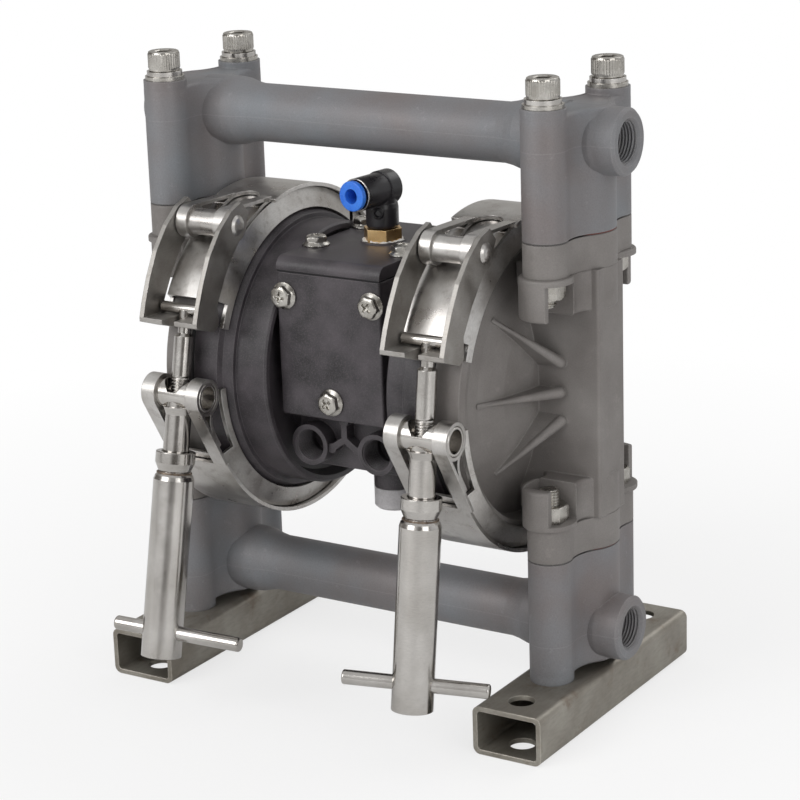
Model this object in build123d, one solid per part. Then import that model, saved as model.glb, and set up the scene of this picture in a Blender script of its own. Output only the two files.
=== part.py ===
from build123d import *
from math import atan2, cos, degrees, hypot, radians, sin, sqrt
import os

os.makedirs("parts", exist_ok=True)

# Air operated double diaphragm pump. X is the diaphragm axis, -Y is the front with the clamp latches,
# and Z = 0 is the underside of the two base rails. Sizes in mm.

# Driving sizes: frame, castings and their screws
MID_Z = 134.2          # height of the pump axis
SCREW_X = 87.5         # manifold screws
SCREW_Y = 26.0
JOINT = 63.5           # manifold joint faces, above and below the pump axis
BLOCK_BODY = 111.7     # manifold body between the screw bosses
BLOCK_TOP = BLOCK_BODY + 2.5
TUBE_OFF = 98.2        # manifold tube axis
PORT_X = 110.0         # port faces
PORT_R = 8.33          # 3/8 inch pipe thread
TUBE_R = 11.9
BORE_R = 8.0
COLUMN_R = 8.8         # screw columns of the manifold blocks
HOUSING_R = 15.0       # ball housings in the middle of the blocks
WALL_R = 10.6          # wall that wraps round a nut
BLEND_R = 8.0
SEAL_H = 0.9           # flat seal between manifold and chamber
RAIL = dict(x=88.0, width=30.0, length=128.0, height=20.0, wall=2.0, foot_y=51.5, foot_r=5.3)
M8_R = 4.0
M8_CLEAR = 4.35
NUT_SEAT = 47.7        # seat of the M8 nuts, above and below the pump axis
NUT_H = 6.5
NUT_AF = 13.0
FLAT_WASHER_H = 1.6
SPRING_WASHER_H = 2.0
UPPER_SCREW = 80.0
LOWER_SCREW = 85.0

# Driving sizes: check valves
SEAT_R = 12.0
SEAT_BORE = 6.0
SEAT_H = 5.0
BALL_R = 9.0
BALL_LIFT = 4.0
CAGE_R = 12.05

# Driving sizes: chambers, diaphragms and shaft
CLAMP_X = 56.0         # middle plane of each clamp joint
FLANGE_R = 61.0
POST_X = 101.8         # flat outer face of the liquid post
POST_Y = 10.5
CONDUIT_R = 7.4
DISH_T = 1.6           # diaphragm thickness
SHAFT_R = 7.0
STUD_R = 4.0
PLATE_R = 24.0
STROKE = 5.0
WEB_IN = 30.0          # inner and outer face of the air chamber webs
WEB_OUT = 38.0

# Driving sizes: centre body, valve block, covers
BLOCK_X = 24.2
BLOCK_FRONT = -44.3
BLOCK_BACK = -16.5
GASKET_T = 1.0
BODY_BACK = 30.0
BODY_TOP = 44.4
BLOCK_LOW = -14.2
BODY_LOW = -38.0
COVER_H = 5.1
COVER_ROUND = 4.4      # rounded front edge of the top cover
AIR_PORT = dict(x=15.8, z=-28.2, r=8.5, bore=6.58, front=-38.0)
M5_R = 2.5
FRONT_SCREWS = [(-20.4, 35.0), (20.4, 35.0), (0.0, -6.6)]
TOP_SCREWS = [(-20.4, -20.5), (20.4, -20.5), (-20.4, 15.5), (20.4, 15.5)]
SPOOL_Y = -33.0
SPOOL_R = 5.5
SLEEVE_R = 8.0
PILOT_Z = 20.0
PILOT_R = 2.5
NIPPLE_Y = -2.5
BARREL_Z = 71.8        # axis of the push-in barrel, above the pump axis
BARREL_TURN = -7.0     # the elbow stands turned a little to the left
RING_BORE = 3.05

# Driving sizes: band clamps and latches
STRAP_R = FLANGE_R + 8.0
STRAP_T = 1.5
STRAP_HALF = 14.5
RETAINER_GAP = 0.4     # between the band and the crown of the retainers
RETAINER_T = 1.3
UPPER_RISE = 6.4       # the upper pivot stands outside the band
UPPER_ANGLE = 54.3
TUBE_PIVOT_R = 5.3
LOOP_T = 1.4
UPPER_LOOP = (6.5, 11.5)
LOWER_LOOP = (7.6, 13.8)
BARREL_R = 6.0
ARM = (12.0, 14.0)
HEAD_R = 2.2
HEAD_GAP = 0.3         # under the bolt head, taken up when the handle is tight
STEP_DOWN = 11.0       # from the bolt head down to the full diameter of the bolt
CUP_R = 8.0
HANDLE_R = 8.2
HANDLE_END = -106.5
BAR_R = 2.9
BAR_Z = -96.3
BAR_HALF = 29.0
LATCH = {
    1: dict(rise=0.0, angle=-5.0, tilt=8.0, reach=36.7, shift=1.8, turn=19.0, bar=1.0),
    -1: dict(rise=0.4, angle=-3.0, tilt=12.2, reach=34.2, shift=0.0, turn=5.0, bar=-7.0),
}


def box(x0, x1, y0, y1, z0, z1):
    return Pos((x0 + x1) / 2, (y0 + y1) / 2, (z0 + z1) / 2) * Box(abs(x1 - x0), abs(y1 - y0), abs(z1 - z0))


def cyl_x(r, x0, x1, y=0.0, z=0.0):
    return Pos((x0 + x1) / 2, y, z) * Rot(0, 90, 0) * Cylinder(r, abs(x1 - x0))


def cyl_y(r, y0, y1, x=0.0, z=0.0):
    return Pos(x, (y0 + y1) / 2, z) * Rot(90, 0, 0) * Cylinder(r, abs(y1 - y0))


def cyl_z(r, z0, z1, x=0.0, y=0.0):
    return Pos(x, y, (z0 + z1) / 2) * Cylinder(r, abs(z1 - z0))


def turned_x(points):
    """Solid of revolution about X from (x, radius) points."""
    return revolve(make_face(Polyline(*points, close=True)), Axis.X)


def turned_z(points, x=0.0, y=0.0):
    """Solid of revolution about a vertical axis from (radius, z) points."""
    return Pos(x, y, 0) * revolve(Plane.XZ * make_face(Polyline(*points, close=True)), Axis.Z)


def plate_x(points, x0, x1):
    """Plate from (y, z) points, between two X positions."""
    return Pos(x0, 0, 0) * extrude(Plane.YZ * make_face(Polyline(*points, close=True)), x1 - x0)


def hex_z(flats, z0, z1, x=0.0, y=0.0, turn=0.0):
    return Pos(x, y, z0) * Rot(0, 0, turn) * extrude(RegularPolygon(flats / sqrt(3), 6), z1 - z0)


def rod(p0, p1, r0, r1):
    """Round bar between two points, tapered from r0 to r1."""
    a, b = Vector(*p0), Vector(*p1)
    axis = b - a
    return Plane(origin=a + axis * 0.5, z_dir=axis) * Cone(r0, r1, axis.length)


def polar(radius, angle):
    """(y, z) on a circle round the pump axis; 0 degrees is the front and 90 degrees the top."""
    return (-radius * cos(radians(angle)), radius * sin(radians(angle)))


def other_side(shape):
    return mirror(shape, about=Plane.YZ)


def upside_down(shape):
    return mirror(shape, about=Plane.XY)


def both_sides(side, shape):
    return shape if side > 0 else other_side(shape)


def save(name, *solids):
    placed = [Pos(0, 0, MID_Z) * solid for solid in solids]
    export_step(placed[0] if len(placed) == 1 else Compound(children=placed), f"parts/{name}.step")


# Castings

def block_outline(column_r, housing_r, blend_r):
    """Plan of a block: two screw columns and a ball housing, joined by concave blends."""
    a, b, c = column_r + blend_r, housing_r + blend_r, SCREW_Y
    along = (c * c + a * a - b * b) / (2 * c)
    out = sqrt(a * a - along * along)
    fx, fy = out, -c + along
    t1 = (fx * column_r / a, -c + along * column_r / a)
    t2 = (fx * housing_r / b, fy * housing_r / b)

    def quarter(sx, sy):
        middle = atan2(t1[1] + c, t1[0])
        start = radians(-90)
        half = (start + middle) / 2
        column = ThreePointArc((0, sy * (-c - column_r)),
                               (sx * column_r * cos(half), sy * (-c + column_r * sin(half))),
                               (sx * t1[0], sy * t1[1]))
        toward = hypot(fx, fy + c)
        ux = (-1.0, 0.0)
        mid_blend = (fx + blend_r * ux[0], fy + blend_r * ux[1])
        blend = ThreePointArc((sx * t1[0], sy * t1[1]), (sx * mid_blend[0], sy * mid_blend[1]),
                              (sx * t2[0], sy * t2[1]))
        end = atan2(t2[1], t2[0]) / 2
        housing = ThreePointArc((sx * t2[0], sy * t2[1]),
                                (sx * housing_r * cos(end), sy * housing_r * sin(end)),
                                (sx * housing_r, 0))
        return [column, blend, housing]

    edges = [edge for sx in (1, -1) for sy in (1, -1) for edge in quarter(sx, sy)]
    return Pos(SCREW_X, 0) * make_face(edges)


def block(outline, z0, z1):
    return Pos(0, 0, z0) * extrude(outline, z1 - z0)


def ball_centre(joint):
    """Height of a ball that rests on the 45 degree cone of its seat."""
    return joint + SEAT_H - (SEAT_BORE + 1.6) + sqrt(2) * BALL_R + 0.03


def cage_cut(joint):
    """Ball cage above a seat: a round well with four ribs that stop the ball."""
    stop = ball_centre(joint) + BALL_LIFT + sqrt(BALL_R ** 2 - 7.5 ** 2) + 0.05
    well = cyl_z(CAGE_R, joint - 1, stop + 4.2, SCREW_X)
    for angle in (45, 135, 225, 315):
        rib = box(7.5, CAGE_R + 1, -1.3, 1.3, stop, stop + 6)
        well -= Pos(SCREW_X, 0, 0) * Rot(0, 0, angle) * rib
    return well


def manifold():
    """Upper manifold: two end blocks with ports, joined by the tube, in one casting."""
    plan = block_outline(COLUMN_R, HOUSING_R, BLEND_R)
    end = block(plan, JOINT, BLOCK_BODY)
    end = fillet(end.edges().group_by(Axis.Z)[-1], 1.6)
    for side in (1, -1):
        end += cyl_z(COLUMN_R, JOINT, BLOCK_TOP, SCREW_X, side * SCREW_Y)
    port = [(84, 0), (84, 13.6), (99, 13.6), (101, 13.3), (PORT_X - 1.2, 13.1), (PORT_X, 12.0), (PORT_X, 0)]
    swell = [(0, 0), (0, TUBE_R), (58, TUBE_R), (62, 12.6), (66, 13.8), (70, 14.2), (84, 14.2), (84, 0)]
    end += Pos(0, 0, TUBE_OFF) * turned_x(port)
    end += Pos(0, 0, TUBE_OFF) * turned_x(swell)
    end -= cyl_x(BORE_R, -1, PORT_X + 1, 0, TUBE_OFF)
    end -= cyl_x(PORT_R, PORT_X - 15, PORT_X + 1, 0, TUBE_OFF)
    mouth = [(PORT_X - 1.2, 0), (PORT_X - 1.2, PORT_R), (PORT_X + 0.1, PORT_R + 1.2), (PORT_X + 0.1, 0)]
    end -= Pos(0, 0, TUBE_OFF) * turned_x(mouth)
    for side in (1, -1):
        end -= cyl_z(M8_CLEAR, JOINT - 1, BLOCK_TOP + 1, SCREW_X, side * SCREW_Y)
    return end


def outlet_manifold():
    end = manifold() - cage_cut(JOINT)
    end -= cyl_z(HOUSING_R + 0.6, JOINT - 1, JOINT + SEAL_H, SCREW_X)
    return end + other_side(end)


def inlet_manifold():
    end = manifold() - cyl_z(BORE_R, JOINT - 1, TUBE_OFF, SCREW_X)
    end = upside_down(end)
    return end + other_side(end)


def chamber_dish():
    outer = [(57.2, 55.2), (57.2, FLANGE_R), (68.4, FLANGE_R), (69.4, 58.3), (69.4, 56.4), (62.2, 54.6),
             (66.0, 42.8), (67.2, 40.6), (71.0, 31.0), (74.6, 16.0), (76.0, 0)]
    inner = [(73.0, 0), (71.6, 15.0), (68.2, 29.6), (64.2, 40.0), (63.0, 42.0), (59.6, 52.0)]
    return turned_x(outer + inner)


def chamber_ribs(side_y):
    """Three tapered ribs from the crease of the dish to the post."""
    ribs = None
    for angle, foot_r in ((46.0, 17.0), (0.0, 13.0), (-46.0, 17.0)):
        web = [(64.0, 43.6), (66.4, 43.6), (84.6, foot_r), (84.6, 0), (74.6, 0), (73.2, 14.0), (69.4, 30.5),
               (65.0, 41.4)]
        plate = Pos(0, 0, -1.0) * extrude(make_face(Polyline(*web, close=True)), 2.0)
        crown = rod((66.0, 43.6, 0), (85.4, foot_r - 0.6, 0), 0.5, 2.3)
        crown += Pos(85.4, foot_r - 0.6, 0) * Sphere(2.3)
        rib = plate + crown
        turn = 180 - angle if side_y < 0 else angle
        rib = Rot(turn, 0, 0) * rib
        ribs = rib if ribs is None else ribs + rib
    return ribs


def chamber_flange():
    """Upper end of the post: joint face, screw columns and the pockets for the M8 nuts."""
    flange = block(block_outline(COLUMN_R, HOUSING_R, BLEND_R), 49.0, JOINT)
    lower = block(block_outline(WALL_R, HOUSING_R + 0.3, BLEND_R - 1), 33.6, 50.0)
    lower = fillet(lower.edges().group_by(Axis.Z)[0], 1.2)
    lower = fillet(lower.edges().group_by(Axis.Z)[-1], 0.8)
    flange += lower
    for side in (1, -1):
        y = side * SCREW_Y
        flange -= cyl_z(M8_CLEAR, 30, JOINT + 1, SCREW_X, y)
        flange -= box(SCREW_X - 8.2, 130, y - 6.7, y + 6.7, 30, NUT_SEAT)
        outward = sorted((y - side * 6.7, y + side * 14))
        flange -= box(SCREW_X + 4.6, 130, *outward, 30, NUT_SEAT)
    return flange


def liquid_chamber():
    """Right liquid chamber: dish, ribs, upright post and the two flanges."""
    post = box(66, POST_X, -POST_Y, POST_Y, -50, 50)
    post = fillet(post.edges().filter_by(Axis.Z).sort_by(Axis.X)[-2:], 1.2)
    body = chamber_dish() + post + chamber_ribs(-1) + chamber_ribs(1)
    top = chamber_flange()
    body += top + upside_down(top)
    cavity = [(50, 0), (50, 55.0), (57.2, 55.2), (59.6, 52.0), (63.0, 42.0), (64.2, 40.0), (68.2, 29.6),
              (71.6, 15.0), (73.0, 0)]
    body -= turned_x(cavity)
    body -= cyl_z(CONDUIT_R, -JOINT - 1, JOINT + 1, SCREW_X)
    window = Pos(78, 0, 0) * Box(20, 12.0, 26)
    body -= fillet(window.edges().filter_by(Axis.X), 5.0)
    body -= cage_cut(-JOINT)
    body -= cyl_z(HOUSING_R + 1.0, -JOINT - 1, -JOINT + SEAL_H, SCREW_X)
    return body


# Centre section

def air_chamber(side):
    """Air chamber with its web, outer band and the flange under the clamp."""
    if side < 0:
        band = [(WEB_IN, 49.6), (24.7, 51.6), (24.7, 53.6), (25.5, 54.4), (38.6, 54.9), (38.6, 56.9)]
    else:
        band = [(WEB_IN, 50.5), (33.0, 53.0), (33.0, 55.7), (33.8, 56.5), (41.8, 56.9)]
    back = [(42.6, 58.3), (43.6, FLANGE_R), (54.8, FLANGE_R), (54.8, 55.2), (52.0, 54.0), (43.0, 50.0),
            (39.6, 44.0), (WEB_OUT, 36.0), (WEB_OUT, 0)]
    shape = turned_x([(WEB_IN, 0)] + band + back)
    shape -= cyl_x(SHAFT_R + 0.6, WEB_IN - 1, WEB_OUT + 1)
    shape -= cyl_x(PILOT_R + 0.05, WEB_IN - 1, WEB_OUT + 1, 0, PILOT_Z)
    for y, z in chamber_screw_spots():
        shape -= cyl_x(M5_R + 0.3, WEB_IN - 1, WEB_OUT + 1, y, z)
        shape -= cyl_x(5.2, WEB_OUT - 3.5, WEB_OUT + 1, y, z)
    for x, y in TOP_SCREWS:
        shape -= cyl_z(6.2, BODY_TOP, 60, abs(x), y)
    for x, z in FRONT_SCREWS:
        shape -= cyl_y(6.2, -55, BLOCK_FRONT + 0.6, abs(x), z)
    return both_sides(side, shape)


def chamber_screw_spots():
    return [polar(28.0, angle) for angle in (70, 110, 250, 290)]


def centre_body():
    """Black moulding between the air chambers, with the exhaust ports and the shaft bore."""
    body = box(-BLOCK_X, BLOCK_X, BLOCK_BACK + GASKET_T, BODY_BACK, BODY_LOW, BODY_TOP)
    body = fillet(body.edges().filter_by(Axis.Z), 1.2)
    hub = cyl_x(36.0, -WEB_IN, WEB_IN) - box(-40, 40, -40, BLOCK_BACK + GASKET_T, BLOCK_LOW - 1, 40)
    body += hub
    body += box(-BLOCK_X, BLOCK_X, -31.0, -19.0, BODY_LOW, -17.0)
    for sx in (-1, 1):
        x = sx * AIR_PORT["x"]
        body += cyl_y(AIR_PORT["r"], AIR_PORT["front"], -19, x, AIR_PORT["z"])
    body += exhaust_boss()
    for sx in (-1, 1):
        x = sx * AIR_PORT["x"]
        body -= cyl_y(AIR_PORT["bore"], AIR_PORT["front"] - 1, AIR_PORT["front"] + 14, x, AIR_PORT["z"])
        body -= cyl_y(4.0, AIR_PORT["front"], -12, x, AIR_PORT["z"])
    body += rib_star()
    body -= cyl_x(SHAFT_R + 2.0, -WEB_IN - 1, WEB_IN + 1)
    for sx in (-1, 1):
        body -= cyl_x(PILOT_R + 0.05, sx * 10.0, sx * (WEB_IN + 1), 0, PILOT_Z)
        for y, z in chamber_screw_spots():
            body -= cyl_x(M5_R + 0.05, sx * 17.0, sx * (WEB_IN + 1), y, z)
    for x, z in FRONT_SCREWS:
        body -= cyl_y(M5_R + 0.05, BLOCK_BACK - 1, BLOCK_BACK + 7.2, x, z)
    for x, y in TOP_SCREWS:
        body -= cyl_z(M5_R + 0.05, BODY_TOP - 7, BODY_TOP + 1, x, y)
    body -= cyl_z(4.9, BODY_TOP - 3, BODY_TOP + 1, 0, NIPPLE_Y)
    body -= cyl_z(4.2, BODY_TOP - 14, BODY_TOP, 0, NIPPLE_Y)
    body -= cyl_y(3.0, BLOCK_BACK, NIPPLE_Y, 0, BODY_TOP - 10)
    return body


def exhaust_boss():
    boss = cyl_z(8.8, -54.0, BODY_LOW + 1, 0, 0.5)
    return boss - cyl_z(6.1, -60, -44, 0, 0.5)


def rib_star():
    """Small three-armed rib between the two front ports."""
    star = None
    for dx, dz in ((0.0, 7.4), (-6.2, -4.4), (6.2, -4.4)):
        length = hypot(dx, dz)
        arm = Pos(length / 2, 0, 0) * Box(length, 6.0, 2.6)
        arm += Pos(length, 0, 0) * Rot(90, 0, 0) * Cylinder(2.0, 6.0)
        arm = Pos(0, -33.5, -24.4) * Rot(0, -degrees(atan2(dz, dx)), 0) * arm
        star = arm if star is None else star + arm
    return star


def exhaust_silencer():
    """Grey silencer screwed up into the boss under the body."""
    shape = turned_z([(0, -63.2), (7.8, -63.2), (8.8, -62.2), (8.8, -54.1), (6.0, -54.1), (6.0, -47),
                      (4.2, -47), (4.2, -60.6), (0, -60.6)], 0, 0.5)
    for angle in range(0, 360, 60):
        shape -= Pos(0, 0.5, 0) * Rot(0, 0, angle) * box(1.6, 5.0, -0.6, 0.6, -64, -60)
    return shape


def valve_block():
    """Air valve block on the front, held by three screws."""
    shape = box(-BLOCK_X, BLOCK_X, BLOCK_FRONT, BLOCK_BACK, BLOCK_LOW, BODY_TOP)
    shape = fillet(shape.edges().filter_by(Axis.Z), 1.0)
    shape = fillet(shape.edges().filter_by(Axis.X).sort_by(Axis.Y)[:2].sort_by(Axis.Z)[0], 0.8)
    shape -= cyl_z(SLEEVE_R + 0.03, 0, BODY_TOP + 1, 0, SPOOL_Y)
    for x, z in FRONT_SCREWS:
        shape -= cyl_y(M5_R + 0.3, BLOCK_FRONT - 1, BLOCK_BACK + 1, x, z)
    for x, y in TOP_SCREWS[:2]:
        shape -= cyl_z(M5_R + 0.05, BODY_TOP - 7, BODY_TOP + 1, x, y)
    shape -= cyl_y(3.0, SPOOL_Y, BLOCK_BACK + 1, 0, BODY_TOP - 10)
    for x in (-8.0, 8.0):
        shape -= cyl_y(2.4, SPOOL_Y, BLOCK_BACK + 1, x * 0.6, 12.0 + x * 0.6)
    return shape


def block_gasket():
    half = BLOCK_X - 0.4
    shape = box(-half, half, BLOCK_BACK, BLOCK_BACK + GASKET_T, BLOCK_LOW + 0.4, BODY_TOP - 0.4)
    for x, z in FRONT_SCREWS:
        shape -= cyl_y(M5_R + 0.4, BLOCK_BACK - 1, BLOCK_BACK + 2, x, z)
    shape -= cyl_y(3.2, BLOCK_BACK - 1, BLOCK_BACK + 2, 0, BODY_TOP - 10)
    for x in (-8.0, 8.0):
        shape -= cyl_y(2.6, BLOCK_BACK - 1, BLOCK_BACK + 2, x * 0.6, 12.0 + x * 0.6)
    return shape


def cover_gasket():
    shape = box(-BLOCK_X + 0.4, BLOCK_X - 0.4, BLOCK_FRONT + 0.6, BODY_BACK - 1.4, BODY_TOP, BODY_TOP + 0.8)
    for x, y in TOP_SCREWS:
        shape -= cyl_z(M5_R + 0.4, BODY_TOP - 1, BODY_TOP + 2, x, y)
    shape -= cyl_z(5.4, BODY_TOP - 1, BODY_TOP + 2, 0, NIPPLE_Y)
    shape -= cyl_z(SPOOL_R, BODY_TOP - 1, BODY_TOP + 2, 0, SPOOL_Y)
    return shape


COVER_LOW = BODY_TOP + 0.8
COVER_TOP = COVER_LOW + COVER_H


def top_cover():
    """Flat cover whose front upper edge is rounded."""
    front = BLOCK_FRONT + 0.2
    rear = BODY_BACK - 1
    slant = COVER_ROUND * sqrt(0.5)
    arc_end = (front, COVER_TOP - COVER_ROUND)
    arc_middle = (front + COVER_ROUND - slant, COVER_TOP - COVER_ROUND + slant)
    arc_start = (front + COVER_ROUND, COVER_TOP)
    corners = [arc_end, (front, COVER_LOW), (rear, COVER_LOW), (rear, COVER_TOP), arc_start]
    side_view = [Line(a, b) for a, b in zip(corners, corners[1:])]
    side_view.append(ThreePointArc(arc_start, arc_middle, arc_end))
    shape = Pos(-BLOCK_X, 0, 0) * extrude(Plane.YZ * make_face(side_view), 2 * BLOCK_X)
    shape = fillet(shape.edges().filter_by(Axis.Z).sort_by(Axis.Y)[-2:], 2.0)
    shape += cyl_z(9.2, COVER_TOP - 1, COVER_TOP + 0.6, 0, NIPPLE_Y)
    for x, y in TOP_SCREWS:
        shape -= cyl_z(M5_R + 0.3, COVER_LOW - 1, COVER_TOP + 1, x, y)
    shape -= cyl_z(4.9, COVER_LOW - 1, COVER_TOP + 1, 0, NIPPLE_Y)
    return shape


def m5_screw(length):
    """Hexagon flange screw, head on +Z, underside of the head at Z = 0."""
    head = hex_z(8.0, 1.0, 4.6) + cyl_z(5.5, 0, 1.0) + Pos(0, 0, 1.35) * Cone(5.2, 4.2, 0.7)
    for turn in (0, 90):
        head -= Rot(0, 0, turn) * box(-2.2, 2.2, -0.45, 0.45, 3.2, 5)
    return head + cyl_z(M5_R, -length, 0.1)


# Air valve and fitting

def spool_sleeve():
    shape = cyl_z(SLEEVE_R, 1.0, 42.0, 0, SPOOL_Y) - cyl_z(SPOOL_R + 0.03, 0, 43, 0, SPOOL_Y)
    for z in (7.2, 16.8, BODY_TOP - 10):
        shape -= cyl_y(2.2, SPOOL_Y - 12, SPOOL_Y + 12, 0, z)
    return shape


def spool():
    shape = cyl_z(SPOOL_R, 2.0, 35.0, 0, SPOOL_Y)
    for z in (10.0, 23.0):
        shape -= cyl_z(SPOOL_R + 1, z, z + 5.0, 0, SPOOL_Y) - cyl_z(3.4, z - 1, z + 6.0, 0, SPOOL_Y)
    return shape


def nipple():
    shape = hex_z(14.0, COVER_TOP + 0.6, COVER_TOP + 5.6, 0, NIPPLE_Y, 12)
    shape += cyl_z(4.85, COVER_TOP - 7.0, COVER_TOP + 1, 0, NIPPLE_Y)
    shape += cyl_z(4.4, COVER_TOP + 5, COVER_TOP + 10.0, 0, NIPPLE_Y)
    return shape - cyl_z(2.6, COVER_TOP - 8, COVER_TOP + 11, 0, NIPPLE_Y)


def elbow_body():
    """Push-in elbow: upright part on the nipple and a barrel for a 6 mm tube."""
    low = COVER_TOP + 5.75
    shape = cyl_z(6.1, low, BARREL_Z + 1, 0, NIPPLE_Y)
    shape = fillet(shape.edges().group_by(Axis.Z)[0], 0.6)
    barrel = cyl_y(6.7, NIPPLE_Y - 15.5, NIPPLE_Y + 5.6, 0, BARREL_Z)
    barrel = fillet(barrel.edges().group_by(Axis.Y)[-1], 1.4)
    barrel = fillet(barrel.edges().group_by(Axis.Y)[0], 0.6)
    shape += barrel
    shape += cyl_y(7.2, NIPPLE_Y - 1.5, NIPPLE_Y + 4.6, 0, BARREL_Z)
    shape -= cyl_z(4.45, low - 1, low + 5.2, 0, NIPPLE_Y)
    shape -= cyl_z(2.6, low, BARREL_Z, 0, NIPPLE_Y)
    shape -= cyl_y(4.0, NIPPLE_Y - 17, NIPPLE_Y - 5.0, 0, BARREL_Z)
    shape -= cyl_y(5.2, NIPPLE_Y - 17, NIPPLE_Y - 12.5, 0, BARREL_Z)
    shape -= cyl_y(2.6, NIPPLE_Y - 6, NIPPLE_Y, 0, BARREL_Z)
    shape -= cyl_y(1.4, NIPPLE_Y - 7, NIPPLE_Y - 4.2, 0, BARREL_Z - 9.0)
    return turn_fitting(shape)


def release_ring():
    front = NIPPLE_Y - 15.5
    shape = cyl_y(6.1, front - 3.6, front - 1.6, 0, BARREL_Z)
    shape = fillet(shape.edges().group_by(Axis.Y)[0], 0.5)
    shape += cyl_y(3.96, front - 1.7, front + 7.0, 0, BARREL_Z)
    shape -= cyl_y(RING_BORE, front - 5, front + 8, 0, BARREL_Z)
    return turn_fitting(shape)


def turn_fitting(shape):
    return Pos(0, NIPPLE_Y, 0) * Rot(0, 0, BARREL_TURN) * Pos(0, -NIPPLE_Y, 0) * shape


# Diaphragms and shaft

def diaphragm():
    line = [(56.0, 60.4), (56.0, 57.6), (56.6, 52.0), (56.9, 47.6), (55.4, 41.0), (52.2, 33.0), (50.6, 28.0),
            (50.4, 25.0), (50.4, STUD_R + 0.05)]
    half = DISH_T / 2
    sheet = turned_x([(x + half, r) for x, r in line] + [(x - half, r) for x, r in reversed(line)])
    bead = turned_x([(54.85, 60.4), (54.85, 57.6), (57.15, 57.6), (57.15, 60.4)])
    return sheet + bead


def outer_plate():
    shape = turned_x([(51.25, 0), (51.25, PLATE_R), (52.6, PLATE_R + 0.8), (54.0, 23.0), (56.4, 15.0),
                      (58.0, 6.0), (58.2, 0)])
    return shape - cyl_x(STUD_R + 0.05, 50, 56.6)


def inner_plate():
    shape = turned_x([(46.6, 0), (46.6, 20.0), (48.2, PLATE_R), (49.55, PLATE_R), (49.55, 0)])
    return shape - cyl_x(STUD_R + 0.05, 45, 51)


def main_shaft():
    return cyl_x(SHAFT_R, -46.55, 46.55) + cyl_x(STUD_R, -56.4, 56.4)


def shaft_bush():
    return cyl_x(SHAFT_R + 1.97, 17.5, WEB_IN - 0.2) - cyl_x(SHAFT_R + 0.03, 17, WEB_IN + 1)


def shaft_seal():
    return cyl_x(SHAFT_R + 1.95, 13.8, 16.8) - cyl_x(SHAFT_R + 0.02, 13, 18)


def pilot_pin():
    return cyl_x(PILOT_R, 14.0, 41.2, 0, PILOT_Z)


# Check valves and fasteners

def valve_seat(joint):
    """Ball seat ring with a 45 degree seating cone, standing on the level joint."""
    top = joint + SEAT_H
    shape = turned_z([(SEAT_BORE, joint), (SEAT_R, joint), (SEAT_R, top), (SEAT_BORE + 1.6, top),
                      (SEAT_BORE, top - 1.6)], SCREW_X)
    return shape


def ball(joint):
    return Pos(SCREW_X, 0, ball_centre(joint)) * Sphere(BALL_R)


def joint_seal(joint):
    ring = cyl_z(HOUSING_R - 0.5, joint, joint + SEAL_H, SCREW_X)
    return ring - cyl_z(SEAT_R + 0.1, joint - 1, joint + 2, SCREW_X)


def m8_screw(seat, length):
    """Socket head cap screw, underside of the head at the given height, pointing down."""
    head = cyl_z(6.5, seat, seat + 8.0)
    head = chamfer(head.edges().group_by(Axis.Z)[-1], 0.6)
    head -= hex_z(6.0, seat + 4.0, seat + 9)
    return head + cyl_z(M8_R, seat - length, seat + 0.1)


def m8_nut(z0, z1):
    shape = hex_z(NUT_AF, z0, z1) & (Pos(0, 0, (z0 + z1) / 2) * Cylinder(7.1, z1 - z0))
    return shape - cyl_z(M8_R + 0.05, z0 - 1, z1 + 1)


def flat_washer(z0):
    return cyl_z(8.0, z0, z0 + FLAT_WASHER_H) - cyl_z(M8_R + 0.2, z0 - 1, z0 + 3)


def spring_washer(z0):
    ring = cyl_z(7.2, z0, z0 + SPRING_WASHER_H) - cyl_z(M8_R + 0.15, z0 - 1, z0 + 4)
    return ring - Rot(0, 0, 20) * box(3, 9, -0.5, 0.5, z0 - 1, z0 + 4)


def at_screws(shape):
    return [Pos(sx * SCREW_X, sy * SCREW_Y, 0) * shape for sx in (-1, 1) for sy in (-1, 1)]


# Base rails

def base_rail(side):
    r = RAIL
    z0 = -MID_Z
    z1 = z0 + r["height"]
    half = r["width"] / 2
    end = r["length"] / 2
    outer = box(r["x"] - half, r["x"] + half, -end, end, z0, z1)
    outer = fillet(outer.edges().filter_by(Axis.Y), 3.0)
    w = r["wall"]
    inner = box(r["x"] - half + w, r["x"] + half - w, -end - 1, end + 1, z0 + w, z1 - w)
    outer -= fillet(inner.edges().filter_by(Axis.Y), 1.4)
    for sy in (-1, 1):
        outer -= cyl_z(M8_CLEAR, z1 - w - 1, z1 + 1, SCREW_X, sy * SCREW_Y)
        outer -= cyl_z(8.5, z0 - 1, z0 + w + 1, SCREW_X, sy * SCREW_Y)
        outer -= cyl_z(r["foot_r"], z0 - 1, z1 + 1, r["x"], sy * r["foot_y"])
    return both_sides(side, outer)


# Band clamps

def upper_pivot():
    return polar(STRAP_R + UPPER_RISE, UPPER_ANGLE)


def lower_pivot(side):
    return polar(STRAP_R + LATCH[side]["rise"], LATCH[side]["angle"])


def latch_x(side):
    """Middle plane of a latch; the right one stands a little outside the middle of its band."""
    return CLAMP_X + LATCH[side]["shift"]


def tangent(point, centre, radius, turn):
    """Point where the line from point touches the circle; turn picks the side (+1 or -1)."""
    dy, dz = point[0] - centre[0], point[1] - centre[1]
    reach = hypot(dy, dz)
    spread = atan2(sqrt(reach * reach - radius * radius), radius)
    base = atan2(dz, dy)
    return (centre[0] + radius * cos(base + turn * spread), centre[1] + radius * sin(base + turn * spread))


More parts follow.
